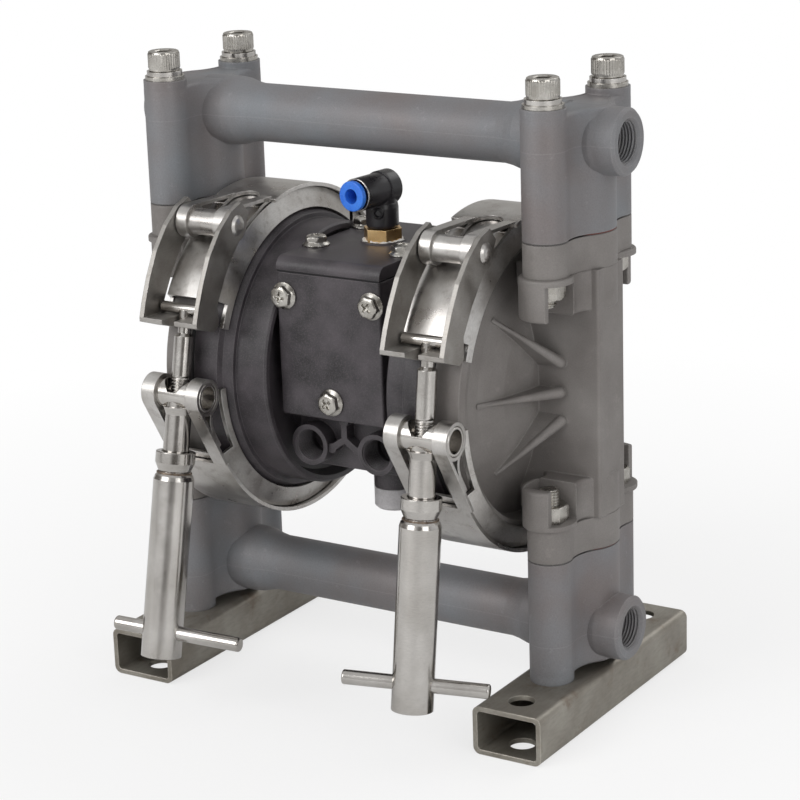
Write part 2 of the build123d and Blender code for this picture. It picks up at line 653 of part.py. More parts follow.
def ribbon(points, thickness, x0, x1):
    """Bent strip that follows (y, z) points."""
    over, under = [], []
    for i, (y, z) in enumerate(points):
        y0, z0 = points[max(i - 1, 0)]
        y1, z1 = points[min(i + 1, len(points) - 1)]
        scale = thickness / 2 / hypot(y1 - y0, z1 - z0)
        over.append((y + (z0 - z1) * scale, z + (y1 - y0) * scale))
        under.append((y - (z0 - z1) * scale, z - (y1 - y0) * scale))
    return plate_x(over + under[::-1], min(x0, x1), max(x0, x1))


def bend(p0, p1, p2):
    """Points of a smooth curve from p0 to p2 that heads for p1 at first."""
    weights = [((1 - t) ** 2, 2 * t * (1 - t), t * t) for t in (i / 8 for i in range(9))]
    return [tuple(u * a + v * b + w * c for a, b, c in zip(p0, p1, p2)) for u, v, w in weights]


def sector(shape, start, end):
    """Keeps the part of a round shape between two angles (counted over the top and the back)."""
    wedge_points = [(0.0, 0.0)] + [polar(140.0, start + (end - start) * i / 12) for i in range(13)]
    return shape & plate_x(wedge_points, 20, 90)


def lower_ear(side, foot):
    """Lets points be given along the front strip of the lower loop: how far down it, and how far inside it."""
    centre = lower_pivot(side)
    mid = BARREL_R + 0.05 + LOOP_T / 2
    top = tangent(foot, centre, mid, -1)
    length = hypot(foot[0] - top[0], foot[1] - top[1])
    along = ((foot[0] - top[0]) / length, (foot[1] - top[1]) / length)
    inward = ((centre[0] - top[0]) / mid, (centre[1] - top[1]) / mid)
    return lambda down, inside: (top[0] + along[0] * down + inward[0] * inside,
                                 top[1] + along[1] * down + inward[1] * inside)


def clamp_strap(side):
    """Outer band with its forked ends, each end rolled into two loops."""
    band = cyl_x(STRAP_R, CLAMP_X - STRAP_HALF, CLAMP_X + STRAP_HALF) - cyl_x(STRAP_R - STRAP_T, 20, 90)
    mid_r = STRAP_R - STRAP_T / 2
    band_end = LATCH[side]["angle"] - 27
    shape = sector(band, 75.0, 360 + band_end)
    foot = polar(mid_r, band_end - 1)
    ear = lower_ear(side, foot)
    mid = latch_x(side)
    pivot = upper_pivot()
    upper_foot = polar(mid_r, 77.0)
    upper_mid = TUBE_PIVOT_R + 0.03 + LOOP_T / 2
    for sx in (-1, 1):
        x0, x1 = mid + sx * UPPER_LOOP[0], mid + sx * UPPER_LOOP[1]
        shape += cyl_x(upper_mid + LOOP_T / 2, x0, x1, *pivot)
        shape += ribbon([upper_foot, tangent(upper_foot, pivot, upper_mid, 1)], LOOP_T, x0, x1)
        inner_foot = polar(STRAP_R - 0.4, 74.0)
        shape += ribbon([inner_foot, tangent(inner_foot, pivot, upper_mid, -1)], LOOP_T, x0, x1)
        x0, x1 = mid + sx * LOWER_LOOP[0], mid + sx * LOWER_LOOP[1]
        shape += cyl_x(BARREL_R + 0.05 + LOOP_T, x0, x1, *lower_pivot(side))
        shape += ribbon([ear(0, 0), foot], LOOP_T, x0, x1)
        back = bend(ear(6.6, 6.0), ear(8.5, 1.3), ear(16.0, 1.3)) + [ear(22.0, 1.3)]
        shape += ribbon(back, LOOP_T, x0, x1)
    plate = box(mid - UPPER_LOOP[1], mid + UPPER_LOOP[1], -24, -12, 55, 80)
    shape += plate & (cyl_x(STRAP_R, 20, 90) - cyl_x(STRAP_R - STRAP_T, 20, 90))
    shape -= box(mid - UPPER_LOOP[0], mid + UPPER_LOOP[0], -60, -19, 55, 80)
    shape -= cyl_z(UPPER_LOOP[0], 55, 80, mid, -19)
    shape -= cyl_x(TUBE_PIVOT_R + 0.03, 20, 90, *pivot)
    shape -= cyl_x(BARREL_R + 0.05, 20, 90, *lower_pivot(side))
    return both_sides(side, shape)


def clamp_retainers(side):
    """Three V-shaped retainer segments inside the band; the last one makes room for the lower loops."""
    crown = STRAP_R - STRAP_T - RETAINER_GAP
    edge = FLANGE_R - 2.0
    half = [(-12.0, crown), (12.0, crown), (15.2, edge), (13.8, edge - 0.6), (10.9, crown - RETAINER_T),
            (-10.9, crown - RETAINER_T), (-13.8, edge - 0.6), (-15.2, edge)]
    ring = turned_x([(CLAMP_X + dx, r) for dx, r in half])
    low = LATCH[side]["angle"]
    ends = [(21.0, 127.0), (130.0, 229.0), (232.0, 360 + low + 1)]
    segments = [sector(ring, a, b) for a, b in ends]
    room = cyl_x(90, CLAMP_X - 14.7, CLAMP_X + 14.7) - cyl_x(FLANGE_R + 0.6, 20, 90)
    segments[0] -= sector(room, 18.0, 27.0 if side > 0 else 30.0)
    segments[2] -= sector(cyl_x(90, 20, 90) - cyl_x(FLANGE_R + 0.2, 20, 90), 360 + low - 24, 360 + low + 2)
    return [both_sides(side, segment) for segment in segments]


def upper_trunnion(side):
    mid = latch_x(side)
    tube = cyl_x(TUBE_PIVOT_R, mid - UPPER_LOOP[1], mid + UPPER_LOOP[1], *upper_pivot())
    return both_sides(side, tube - cyl_x(3.2, 20, 90, *upper_pivot()))


def bolt_head_point(side):
    y, z = lower_pivot(side)
    tilt = radians(LATCH[side]["tilt"])
    reach = LATCH[side]["reach"]
    return (y + reach * sin(tilt), z + reach * cos(tilt))


def yoke_point(side, point):
    """Turns a point of the right yoke about the upper pivot to where the yoke of that side hangs."""
    py, pz = upper_pivot()

    def direction(s):
        y, z = bolt_head_point(s)
        return atan2(z - pz, y - py)
    turn = direction(side) - direction(1)
    dy, dz = point[0] - py, point[1] - pz
    return (py + dy * cos(turn) - dz * sin(turn), pz + dy * sin(turn) + dz * cos(turn))


def latch_yoke(side):
    """Two curved arms and the forked bottom that the bolt head sits on."""
    head = bolt_head_point(side)
    low = [(head[0] + dy, head[1] + dz) for dy, dz in ((-12.4, -2.0), (-12.4, -3.8), (-1.0, -7.9), (2.2, -5.9))]
    front = [(11.6, 60.0), (13.6, 55.0), (14.4, 48.0), (14.2, 40.0), (13.2, 32.0), (12.6, 25.6)]
    rear = [(0.6, 28.0), (0.6, 38.0), (0.8, 46.0), (1.0, 56.0), (5.0, 61.0)]
    front = [yoke_point(side, polar(STRAP_R + rise, angle)) for rise, angle in front]
    rear = [yoke_point(side, polar(STRAP_R + rise, angle)) for rise, angle in rear]
    arm_points = front + low + rear
    seat = head[1] - HEAD_R - HEAD_GAP
    bottom = low[:3] + [(head[0] + 4.4, head[1] - 5.1), (head[0] + 4.2, seat - 0.2), (head[0] - 3.0, seat)]
    mid = latch_x(side)
    shape = plate_x(bottom, mid - ARM[0] - 0.5, mid + ARM[0] + 0.5)
    for sx in (-1, 1):
        x0, x1 = sorted((mid + sx * ARM[0], mid + sx * ARM[1]))
        shape += plate_x(arm_points, x0, x1) + cyl_x(6.6, x0, x1, *upper_pivot())
    shape -= box(mid - 3.0, mid + 3.0, -90, head[0] - 0.3, 15, 40)
    shape -= cyl_z(3.0, 15, 40, mid, head[0] - 0.3)
    shape -= cyl_x(3.05, 20, 90, *upper_pivot())
    return both_sides(side, shape)


def yoke_pin(side):
    """Rivet through the arms and the upper tube, with domed heads."""
    half = [(0.05, 3.0), (0.05, 4.2), (1.1, 3.2), (1.7, 1.6), (1.8, 0)]
    right = [(ARM[1] + x, r) for x, r in half]
    left = [(-x, r) for x, r in reversed(right)]
    return both_sides(side, Pos(latch_x(side), *upper_pivot()) * turned_x(left + right))


def on_bolt_axis(side, shape, turn=0.0):
    """Places a piece built on the bolt axis (Z up, lower pivot at the origin)."""
    placed = Pos(latch_x(side), *lower_pivot(side)) * Rot(-LATCH[side]["tilt"], 0, 0) * Rot(0, 0, turn) * shape
    return both_sides(side, placed)


def t_bolt(side):
    reach = LATCH[side]["reach"]
    step = reach - STEP_DOWN
    shape = cyl_x(HEAD_R, -11.4, 11.4, 0, reach)
    shape = fillet(shape.edges(), 0.5)
    shape += cyl_z(2.65, step - 1, reach)
    shape += Pos(0, 0, step + 0.5) * Cone(3.95, 2.9, 1.0) + cyl_z(3.95, -46, step)
    return on_bolt_axis(side, shape)


def swivel_tee(side):
    shape = cyl_x(BARREL_R, -LOWER_LOOP[1], LOWER_LOOP[1])
    shape = chamfer(shape.edges(), 0.4)
    for sx in (-1, 1):
        shape -= cyl_x(4.7, sx * LOWER_LOOP[0], sx * (LOWER_LOOP[1] + 1))
    shape += cyl_z(5.25, -25.0, -2) + Pos(0, 0, -6.6) * Cone(5.25, 6.6, 3.0)
    shape -= cyl_z(6.3, 0.8, 12)
    shape -= Pos(0, 0, 0.8) * Cone(4.25, 6.3, 3.2)
    shape -= cyl_z(4.25, -30, 12)
    return on_bolt_axis(side, shape)


def handle(side):
    """Long hollow nut: cup that bears on the tee, welded neck and tube."""
    profile = [(4.0, -25.1), (5.7, -25.1), (5.7, -23.0), (CUP_R - 0.3, -23.0), (CUP_R, -23.3), (CUP_R, -27.6),
               (6.6, -30.8), (6.4, -31.2), (7.0, -32.0), (7.7, -32.8), (HANDLE_R, -34.4),
               (HANDLE_R, HANDLE_END), (6.3, HANDLE_END), (6.3, -45.0), (4.0, -43.0)]
    shape = turned_z(profile)
    shape -= cyl_x(BAR_R + 0.05, -20, 20, 0, BAR_Z)
    return on_bolt_axis(side, shape, side * LATCH[side]["turn"])


def t_bar(side):
    offset = LATCH[side]["bar"]
    bar = cyl_x(BAR_R, offset - BAR_HALF, offset + BAR_HALF, 0, BAR_Z)
    bar = fillet(bar.edges(), 0.8)
    return on_bolt_axis(side, bar, side * LATCH[side]["turn"])


# Write every node

def main():
    for name, side in (("right", 1), ("left", -1)):
        save(f"base_rail_{name}", base_rail(side))
        save(f"liquid_chamber_{name}", both_sides(side, liquid_chamber()))
        save(f"air_chamber_{name}", air_chamber(side))
        save(f"diaphragm_{name}", both_sides(side, diaphragm()))
        save(f"pilot_pin_{name}", both_sides(side, pilot_pin()))
        save(f"outlet_ball_{name}", both_sides(side, ball(JOINT)))
        save(f"inlet_ball_{name}", both_sides(side, ball(-JOINT)))
        save(f"clamp_strap_{name}", clamp_strap(side))
        save(f"clamp_retainers_{name}", *clamp_retainers(side))
        save(f"latch_yoke_{name}", latch_yoke(side))
        save(f"t_bolt_{name}", t_bolt(side))
        save(f"swivel_tee_{name}", swivel_tee(side))
        save(f"handle_{name}", handle(side))
        save(f"t_bar_{name}", t_bar(side))
    save("outlet_manifold", outlet_manifold())
    save("inlet_manifold", inlet_manifold())
    save("centre_body", centre_body())
    save("valve_block", valve_block())
    save("valve_block_gasket", block_gasket())
    save("top_cover", top_cover())
    save("top_cover_gasket", cover_gasket())
    front_length = BLOCK_BACK - BLOCK_FRONT + 7
    front = [Pos(x, BLOCK_FRONT, z) * Rot(90, 0, 0) * m5_screw(front_length) for x, z in FRONT_SCREWS]
    save("valve_block_screws", *front)
    save("top_cover_screws", *[Pos(x, y, COVER_TOP) * m5_screw(12.0) for x, y in TOP_SCREWS])
    save("exhaust_silencer", exhaust_silencer())
    save("spool_sleeve", spool_sleeve())
    save("spool", spool())
    save("air_nipple", nipple())
    save("elbow_body", elbow_body())
    save("release_ring", release_ring())
    save("main_shaft", main_shaft())
    save("outer_plates", outer_plate(), other_side(outer_plate()))
    save("inner_plates", inner_plate(), other_side(inner_plate()))
    save("shaft_bushes", shaft_bush(), other_side(shaft_bush()))
    save("shaft_seals", shaft_seal(), other_side(shaft_seal()))
    web_screws = []
    for y, z in chamber_screw_spots():
        screw = Pos(WEB_OUT - 3.5, y, z) * Rot(0, 90, 0) * (cyl_z(M5_R, -14.0, 0.1) + cyl_z(4.3, 0, 3.0))
        web_screws += [screw, other_side(screw)]
    save("air_chamber_screws", *web_screws)
    for name, joint in (("outlet", JOINT), ("inlet", -JOINT)):
        save(f"{name}_seats", valve_seat(joint), other_side(valve_seat(joint)))
        save(f"{name}_seals", joint_seal(joint), other_side(joint_seal(joint)))
    upper = BLOCK_TOP + FLAT_WASHER_H + SPRING_WASHER_H
    lower = BLOCK_TOP + RAIL["wall"] + FLAT_WASHER_H + SPRING_WASHER_H
    rail_top = BLOCK_TOP + RAIL["wall"]
    save("manifold_screws_upper", *at_screws(m8_screw(upper, UPPER_SCREW)))
    save("manifold_screws_lower", *at_screws(upside_down(m8_screw(lower, LOWER_SCREW))))
    nut = m8_nut(NUT_SEAT - NUT_H, NUT_SEAT)
    save("manifold_nuts", *at_screws(nut), *at_screws(upside_down(nut)))
    flats = at_screws(flat_washer(BLOCK_TOP)) + at_screws(upside_down(flat_washer(rail_top)))
    save("flat_washers", *flats)
    springs = at_screws(spring_washer(BLOCK_TOP + FLAT_WASHER_H))
    springs += at_screws(upside_down(spring_washer(rail_top + FLAT_WASHER_H)))
    save("spring_washers", *springs)
    save("upper_trunnions", upper_trunnion(1), upper_trunnion(-1))
    save("yoke_pins", yoke_pin(1), yoke_pin(-1))


main()
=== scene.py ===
"""Looks of an air operated double diaphragm pump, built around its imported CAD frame."""

import logging
import math
from dataclasses import dataclass, replace
from enum import Enum

import bmesh
import bpy
import numpy as np
from bpy.types import Node, NodeSocket, NodeTree
from mathutils import Matrix, Vector


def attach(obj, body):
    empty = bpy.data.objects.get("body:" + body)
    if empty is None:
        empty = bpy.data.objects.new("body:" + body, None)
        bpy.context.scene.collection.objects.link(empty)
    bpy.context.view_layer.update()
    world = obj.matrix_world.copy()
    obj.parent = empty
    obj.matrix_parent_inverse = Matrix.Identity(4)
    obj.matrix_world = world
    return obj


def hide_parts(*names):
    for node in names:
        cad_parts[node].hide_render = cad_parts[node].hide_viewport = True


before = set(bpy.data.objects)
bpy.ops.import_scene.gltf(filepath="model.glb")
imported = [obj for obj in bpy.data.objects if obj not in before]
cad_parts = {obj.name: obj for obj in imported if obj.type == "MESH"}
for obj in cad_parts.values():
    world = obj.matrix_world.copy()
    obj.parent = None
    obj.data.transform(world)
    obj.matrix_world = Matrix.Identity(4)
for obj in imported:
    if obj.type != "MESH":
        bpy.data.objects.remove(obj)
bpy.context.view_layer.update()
LOG = logging.getLogger("pump")
MM = 0.001
# Limit for the corners of a hexagon that leaves them whole.
WHOLE = 9.0


class Side(Enum):
    """The two sides of the pump, with the sign of their X coordinate."""

    RIGHT = 1
    LEFT = -1

    @property
    def label(self) -> str:
        """Ending that the names of this side's nodes have."""
        return self.name.lower()


def linear(code: str) -> tuple[float, float, float, float]:
    """Turns an sRGB hex colour into linear RGBA.

    Args:
        code: Colour such as "#7A7674".

    Returns:
        Linear red, green, blue and an alpha of 1.
    """
    values = [int(code[i:i + 2], 16) / 255 for i in (1, 3, 5)]
    curve = [v / 12.92 if v <= 0.04045 else ((v + 0.055) / 1.055) ** 2.4 for v in values]
    return (curve[0], curve[1], curve[2], 1.0)


def add(tree: NodeTree, kind: str, inputs: dict | None = None, **settings) -> Node:
    """Adds one shader node with its settings, values and links.

    Args:
        tree: Node tree that gets the node.
        kind: Short type name, such as "TexNoise".
        inputs: Socket name or number to a value, or to an output socket that is linked in.
        settings: Properties of the node itself.

    Returns:
        The new node.
    """
    node = tree.nodes.new("ShaderNode" + kind)
    for name, value in settings.items():
        setattr(node, name, value)
    for name, value in (inputs or {}).items():
        if isinstance(value, NodeSocket):
            tree.links.new(value, node.inputs[name])
        else:
            node.inputs[name].default_value = value
    return node


@dataclass(frozen=True)
class Finish:
    """A surface finish and the sizes of its pattern; the comments below say what each gives the eye."""

    title: str
    light: str
    dark: str
    roughness: float
    metallic: float = 0.0
    edge_mm: float = 0.4
    grain_mm: float = 0.6
    grain_height_mm: float = 0.02
    cloud_mm: float = 30.0
    roughness_swing: float = 0.08
    stretch: tuple[float, float, float] = (1.0, 1.0, 1.0)
    coat: float = 0.0
    wear: str = ""
    wear_amount: float = 0.0
    spots: str = ""
    spots_mm: float = 2.0
    spots_amount: float = 0.5
    spots_from: float = 0.56

    def material(self) -> bpy.types.Material:
        """Returns the finish as a material, made once and then shared."""
        known = bpy.data.materials.get(self.title)
        return known if known else self.build()

    def build(self) -> bpy.types.Material:
        """Draws the finish: cloudy colour, fine grain as bump with painted shade in its pits, soft edges and
        wear on edges.

        Returns:
            The new material.
        """
        material = bpy.data.materials.new(self.title)
        material.use_nodes = True
        tree = material.node_tree
        tree.nodes.clear()
        place = add(tree, "TexCoord").outputs["Object"]
        cloud = add(tree, "TexNoise", {"Vector": place, "Scale": 1 / (self.cloud_mm * MM), "Detail": 4.0})
        spread = add(tree, "MapRange", {"Value": cloud.outputs["Fac"], "From Min": 0.32, "From Max": 0.68})
        colour = add(tree, "Mix", {0: spread.outputs["Result"], 6: linear(self.dark), 7: linear(self.light)},
                     data_type="RGBA").outputs[2]
        along = add(tree, "Mapping", {"Vector": place, "Scale": self.stretch})
        grain = add(tree, "TexNoise", {"Vector": along.outputs["Vector"], "Scale": 1 / (self.grain_mm * MM),
                                       "Detail": 3.0, "Roughness": 0.6})
        colour = self.shade(tree, colour, grain.outputs["Fac"])
        if self.spots:
            colour = self.spotted(tree, colour, place)
        colour, height = self.relief(tree, colour, grain.outputs["Fac"], place)
        soft = add(tree, "Bevel", {"Radius": self.edge_mm * MM}, samples=4)
        if self.wear:
            colour = self.worn(tree, colour, soft.outputs["Normal"], grain.outputs["Fac"])
        bump = add(tree, "Bump", {"Height": height, "Strength": 1.0,
                                  "Distance": self.grain_height_mm * MM, "Normal": soft.outputs["Normal"]})
        rough = add(tree, "MapRange", {"Value": cloud.outputs["Fac"], "From Min": 0.3, "From Max": 0.7,
                                       "To Min": self.roughness - self.roughness_swing,
                                       "To Max": self.roughness + self.roughness_swing})
        shader = add(tree, "BsdfPrincipled", {"Base Color": colour, "Metallic": self.metallic,
                                              "Roughness": rough.outputs["Result"],
                                              "Normal": bump.outputs["Normal"], "Coat Weight": self.coat})
        add(tree, "OutputMaterial", {"Surface": shader.outputs["BSDF"]})
        return material

    def shade(self, tree: NodeTree, colour: NodeSocket,
              grain: NodeSocket) -> NodeSocket:
        """Paints shade into the pits of the grain: darkens them a little.

        Args:
            tree: Node tree of the material.
            colour: Colour so far.
            grain: Grain pattern from 0 to 1.

        Returns:
            The shaded colour.
        """
        # Painted shade: where the grain is low, which is where the bump sinks, the colour is darkened to
        # 0.86.
        pit_shade = add(tree, "MapRange", {"Value": grain, "From Min": 0.3, "From Max": 0.6, "To Min": 0.86,
                                      "To Max": 1.0})
        return add(tree, "Mix", {0: 1.0, 6: colour, 7: pit_shade.outputs["Result"]}, data_type="RGBA",
                   blend_type="MULTIPLY").outputs[2]

    def spotted(self, tree: NodeTree, colour: NodeSocket,
                place: NodeSocket) -> NodeSocket:
        """Lays irregular spots over the colour, such as filler specks, dings or rust.

        Args:
            tree: Node tree of the material.
            colour: Colour so far.
            place: Object coordinates.

        Returns:
            The spotted colour.
        """
        noise = add(tree, "TexNoise", {"Vector": place, "Scale": 1 / (self.spots_mm * MM), "Detail": 5.0,
                                       "Roughness": 0.65})
        share = add(tree, "MapRange", {"Value": noise.outputs["Fac"], "From Min": self.spots_from,
                                       "From Max": self.spots_from + 0.12, "To Min": 0.0,
                                       "To Max": self.spots_amount})
        return add(tree, "Mix", {0: share.outputs["Result"], 6: colour, 7: linear(self.spots)},
                   data_type="RGBA").outputs[2]

    def relief(self, tree: NodeTree, colour: NodeSocket, grain: NodeSocket,
               place: NodeSocket) -> tuple[NodeSocket, NodeSocket]:
        """Gives the colour and the height that the bump uses; a plain finish has its grain alone.

        Args:
            tree: Node tree of the material.
            colour: Colour so far.
            grain: Grain pattern from 0 to 1.
            place: Object coordinates.

        Returns:
            The colour and the height.
        """
        return colour, grain

    def worn(self, tree: NodeTree, colour: NodeSocket, soft: NodeSocket,
             grain: NodeSocket) -> NodeSocket:
        """Brings out the edges: where the softened normal leaves the flat one, handling has rubbed them.

        Args:
            tree: Node tree of the material.
            colour: Colour so far.
            soft: Normal with rounded edges.
            grain: Pattern that breaks the wear up.

        Returns:
            The colour with worn edges.
        """
        flat = add(tree, "NewGeometry").outputs["Normal"]
        same = add(tree, "VectorMath", {0: soft, 1: flat}, operation="DOT_PRODUCT").outputs["Value"]
        edge = add(tree, "MapRange", {"Value": same, "From Min": 0.99, "From Max": 0.86, "To Min": 0.0,
                                      "To Max": self.wear_amount})
        broken = add(tree, "Math", {0: edge.outputs["Result"], 1: grain}, operation="MULTIPLY")
        amount = add(tree, "Math", {0: broken.outputs["Value"], 1: 1.8}, operation="MULTIPLY", use_clamp=True)
        return add(tree, "Mix", {0: amount.outputs["Value"], 6: colour, 7: linear(self.wear)},
                   data_type="RGBA").outputs[2]


@dataclass(frozen=True)
class SeamedCasting(Finish):
    """A casting with the fine seam of its mould, and painted shade in the gap where it meets the next
    casting.
    """

    seam_heights_mm: tuple[float, ...] = (232.4, 36.0)
    seam_mm: float = 0.3
    joint_heights_mm: tuple[float, ...] = (197.75, 70.65)
    joint_mm: float = 0.42
    # Near-black colour of the painted shade in the gap at each joint.
    gap: str = "#211D1C"

    def line(self, tree: NodeTree, level: NodeSocket, height: float,
             half: float) -> NodeSocket:
        """Strength of a level line: 1 at its height in millimetres, falling to 0 at half its width away."""
        away = add(tree, "Math", {0: level, 1: height * MM}, operation="SUBTRACT").outputs["Value"]
        near = add(tree, "Math", {0: away}, operation="ABSOLUTE").outputs["Value"]
        rise = add(tree, "MapRange", {"Value": near, "From Min": half * MM, "From Max": 0.0})
        return rise.outputs["Result"]

    def relief(self, tree: NodeTree, colour: NodeSocket, grain: NodeSocket,
               place: NodeSocket) -> tuple[NodeSocket, NodeSocket]:
        """Adds the seams, a little raised and broken by the grain, and paints shade into the gaps at the
        joints.
        """
        level = add(tree, "SeparateXYZ", {"Vector": place}).outputs["Z"]
        height = grain
        for seam in self.seam_heights_mm:
            line = self.line(tree, level, seam, self.seam_mm)
            broken = add(tree, "Math", {0: line, 1: grain}, operation="MULTIPLY").outputs["Value"]
            height = add(tree, "Math", {0: height, 1: broken}, operation="ADD").outputs["Value"]
            faint = add(tree, "Math", {0: broken, 1: 0.35}, operation="MULTIPLY").outputs["Value"]
            colour = add(tree, "Mix", {0: faint, 6: colour, 7: linear(self.wear)},
                         data_type="RGBA").outputs[2]
        # Painted shade: a near-black line at each joint stands in for the shade in the gap between the
        # castings.
        for joint in self.joint_heights_mm:
            line = self.line(tree, level, joint, self.joint_mm)
            full = add(tree, "Math", {0: line, 1: 2.0}, operation="MULTIPLY", use_clamp=True).outputs["Value"]
            colour = add(tree, "Mix", {0: full, 6: colour, 7: linear(self.gap)},
                         data_type="RGBA").outputs[2]
        return colour, height


# Sand-cast aluminium, bead-blasted: a bluish grey with a fine matt grain, purple-brown clouds and pale dings.
CAST = SeamedCasting("bead_blasted_cast_manifold", "#808387", "#7A7372", 0.55, 0.2, edge_mm=0.9, grain_mm=0.5,
                     grain_height_mm=0.05, cloud_mm=38.0, wear="#A9A7A6", wear_amount=0.45, spots="#9A9899",
                     spots_mm=4.0, spots_amount=0.35, spots_from=0.62)
# The same alloy from another mould, for the chambers: a brownish grey, blotchier where it was handled.
CHAMBER = replace(CAST, title="bead_blasted_cast_chamber", light="#8A8683", dark="#75706D", cloud_mm=22.0,
                  wear="#A6A29E", spots="#9C9692", spots_mm=6.0, spots_amount=0.3, spots_from=0.6,
                  seam_heights_mm=())
# Stainless strip, bright rolled: long soft reflections, faint lines along the band, grey handling marks.
STRIP = Finish("rolled_stainless_strip", "#D2D0CD", "#B5B1AD", 0.33, 1.0, edge_mm=0.3, grain_mm=0.7,
               grain_height_mm=0.004, cloud_mm=12.0, roughness_swing=0.09, stretch=(4.0, 0.5, 0.5),
               wear="#DCDAD7", wear_amount=0.35, spots="#8C867F", spots_mm=5.0, spots_amount=0.4)
# The same strip pressed into the latch yokes, scuffed by its dies so its flat faces are softer; their greyer
# colour is painted shade, a darker copy of the strip.
PRESSED_SHADED_STRIP = replace(STRIP, title="pressed_stainless_yoke_painted_darker", light="#B3B0AC", dark="#98948F", roughness=0.47,
                  grain_height_mm=0.006, stretch=(0.5, 0.5, 4.0))
# Turned stainless bar: bright satin, with fine turning lines round the bar.
TURNED = Finish("turned_stainless_bar", "#CCC9C5", "#B3AFAA", 0.18, 1.0, edge_mm=0.3, grain_mm=0.6,
                grain_height_mm=0.003, cloud_mm=16.0, roughness_swing=0.08, stretch=(0.4, 0.4, 3.0),
                wear="#E0DEDA", wear_amount=0.35, spots="#97918A", spots_mm=9.0, spots_amount=0.3,
                spots_from=0.6)
# Zinc-plated steel fasteners: bright, slightly cloudy plating.
ZINC = Finish("zinc_plated_steel", "#C6C3BD", "#A5A19A", 0.27, 1.0, edge_mm=0.25, grain_mm=0.5,
              grain_height_mm=0.003, cloud_mm=5.0, wear="#E6E4DF", wear_amount=0.5)
# Folded steel rail, mill finish under oil: grey with a satin shine, long streaks and brown stains of rust.
RAIL = Finish("oiled_mill_steel_rail", "#A19D94", "#857F75", 0.4, 0.6, edge_mm=0.7, grain_mm=1.2,
              grain_height_mm=0.012, cloud_mm=18.0, stretch=(1.0, 0.25, 1.0), wear="#C9C3B8", wear_amount=0.9,
              spots="#6B5541", spots_mm=13.0, spots_amount=0.5, spots_from=0.58)
# Glass-filled polypropylene, moulded: near black, mottled by its filler, with a slightly greasy sheen.
MOULDED = Finish("glass_filled_polypropylene", "#4C474B", "#252225", 0.46, 0.0, edge_mm=0.6, grain_mm=0.45,
                 grain_height_mm=0.05, cloud_mm=13.0, wear="#6E686B", wear_amount=0.6, spots="#5C5659",
                 spots_mm=0.5, spots_amount=0.4, spots_from=0.5)
# Nylon elbow, moulded: near black and glossier than the air section.
NYLON = Finish("black_nylon", "#2B292D", "#1B1A1D", 0.3, 0.0, edge_mm=0.5, grain_mm=0.8,
               grain_height_mm=0.008, cloud_mm=12.0)
# Acetal release ring: clear mid blue.
ACETAL = Finish("blue_acetal", "#3D86F0", "#2F72E2", 0.32, 0.0, edge_mm=0.4, grain_mm=0.8,
                grain_height_mm=0.004, cloud_mm=8.0)
# Sintered porous polyethylene of the silencer: light grey, quite matt and grainy.
POROUS = Finish("grey_porous_polyethylene", "#CFCDCE", "#B8B5B7", 0.8, 0.0, edge_mm=0.4, grain_mm=0.7,
                grain_height_mm=0.08, cloud_mm=10.0)
# Turned brass nipple: pale warm yellow, dulled a little.
BRASS = Finish("turned_brass", "#E6C48F", "#CFA56A", 0.33, 1.0, edge_mm=0.3, grain_mm=0.5,
               grain_height_mm=0.004, cloud_mm=7.0, wear="#F2DDB2", wear_amount=0.5)
# Fluoropolymer sealing tape: white, thin and crumpled.
TAPE = Finish("white_sealing_tape", "#F1F0EC", "#DCDAD4", 0.6, 0.0, edge_mm=0.1, grain_mm=0.9,
              grain_height_mm=0.08, cloud_mm=4.0)
# Weld seam of stainless steel: grey oxide with brown tints.
WELD = Finish("oxidised_stainless_weld", "#9A8B7C", "#5A4C42", 0.45, 0.8, edge_mm=0.1, grain_mm=0.8,
              grain_height_mm=0.1, cloud_mm=3.0)
# Nitrile rubber of gaskets and diaphragms: matt black.
NITRILE = Finish("nitrile_rubber", "#262527", "#1C1B1D", 0.7, 0.0, edge_mm=0.3, grain_mm=0.4,
                 grain_height_mm=0.01, cloud_mm=12.0)
# Moulded rubber of the seals at the manifold joints: a dull red-brown.
RED_SEAL = Finish("red_brown_rubber", "#7A352E", "#5A261F", 0.6, 0.0, edge_mm=0.2, grain_mm=0.5,
                  grain_height_mm=0.01, cloud_mm=9.0)
# Turned fluoropolymer of seats, balls and spool: waxy white.
WAXY = Finish("white_fluoropolymer", "#EDECE8", "#E0DFDA", 0.4, 0.0, edge_mm=0.3, grain_mm=0.6,
              grain_height_mm=0.006, cloud_mm=12.0)


def both(*stems: str) -> tuple[str, ...]:
    """Names of the right and the left node of each stem."""
    return tuple(f"{stem}_{side.label}" for stem in stems for side in Side)


NODE_FINISH: dict[Finish, tuple[str, ...]] = {
    CAST: ("outlet_manifold", "inlet_manifold"),
    CHAMBER: both("liquid_chamber"),
    STRIP: both("clamp_strap", "clamp_retainers") + ("upper_trunnions", "yoke_pins", "outer_plates"),
    PRESSED_SHADED_STRIP: both("latch_yoke"),
    TURNED: both("t_bolt", "swivel_tee", "handle", "t_bar", "pilot_pin")
            + ("main_shaft", "inner_plates", "spool_sleeve", "spring_washers"),
    ZINC: ("manifold_screws_upper", "manifold_screws_lower", "manifold_nuts", "flat_washers",
           "valve_block_screws", "top_cover_screws", "air_chamber_screws"),
    RAIL: both("base_rail"),
    MOULDED: both("air_chamber") + ("centre_body", "valve_block", "top_cover"),
    NYLON: ("elbow_body",),
    ACETAL: ("release_ring",),
    POROUS: ("exhaust_silencer",),
    BRASS: ("air_nipple",),
    NITRILE: both("diaphragm") + ("valve_block_gasket", "top_cover_gasket", "shaft_seals"),
    RED_SEAL: ("outlet_seals", "inlet_seals"),
    WAXY: both("outlet_ball", "inlet_ball") + ("outlet_seats", "inlet_seats", "spool", "shaft_bushes"),
}


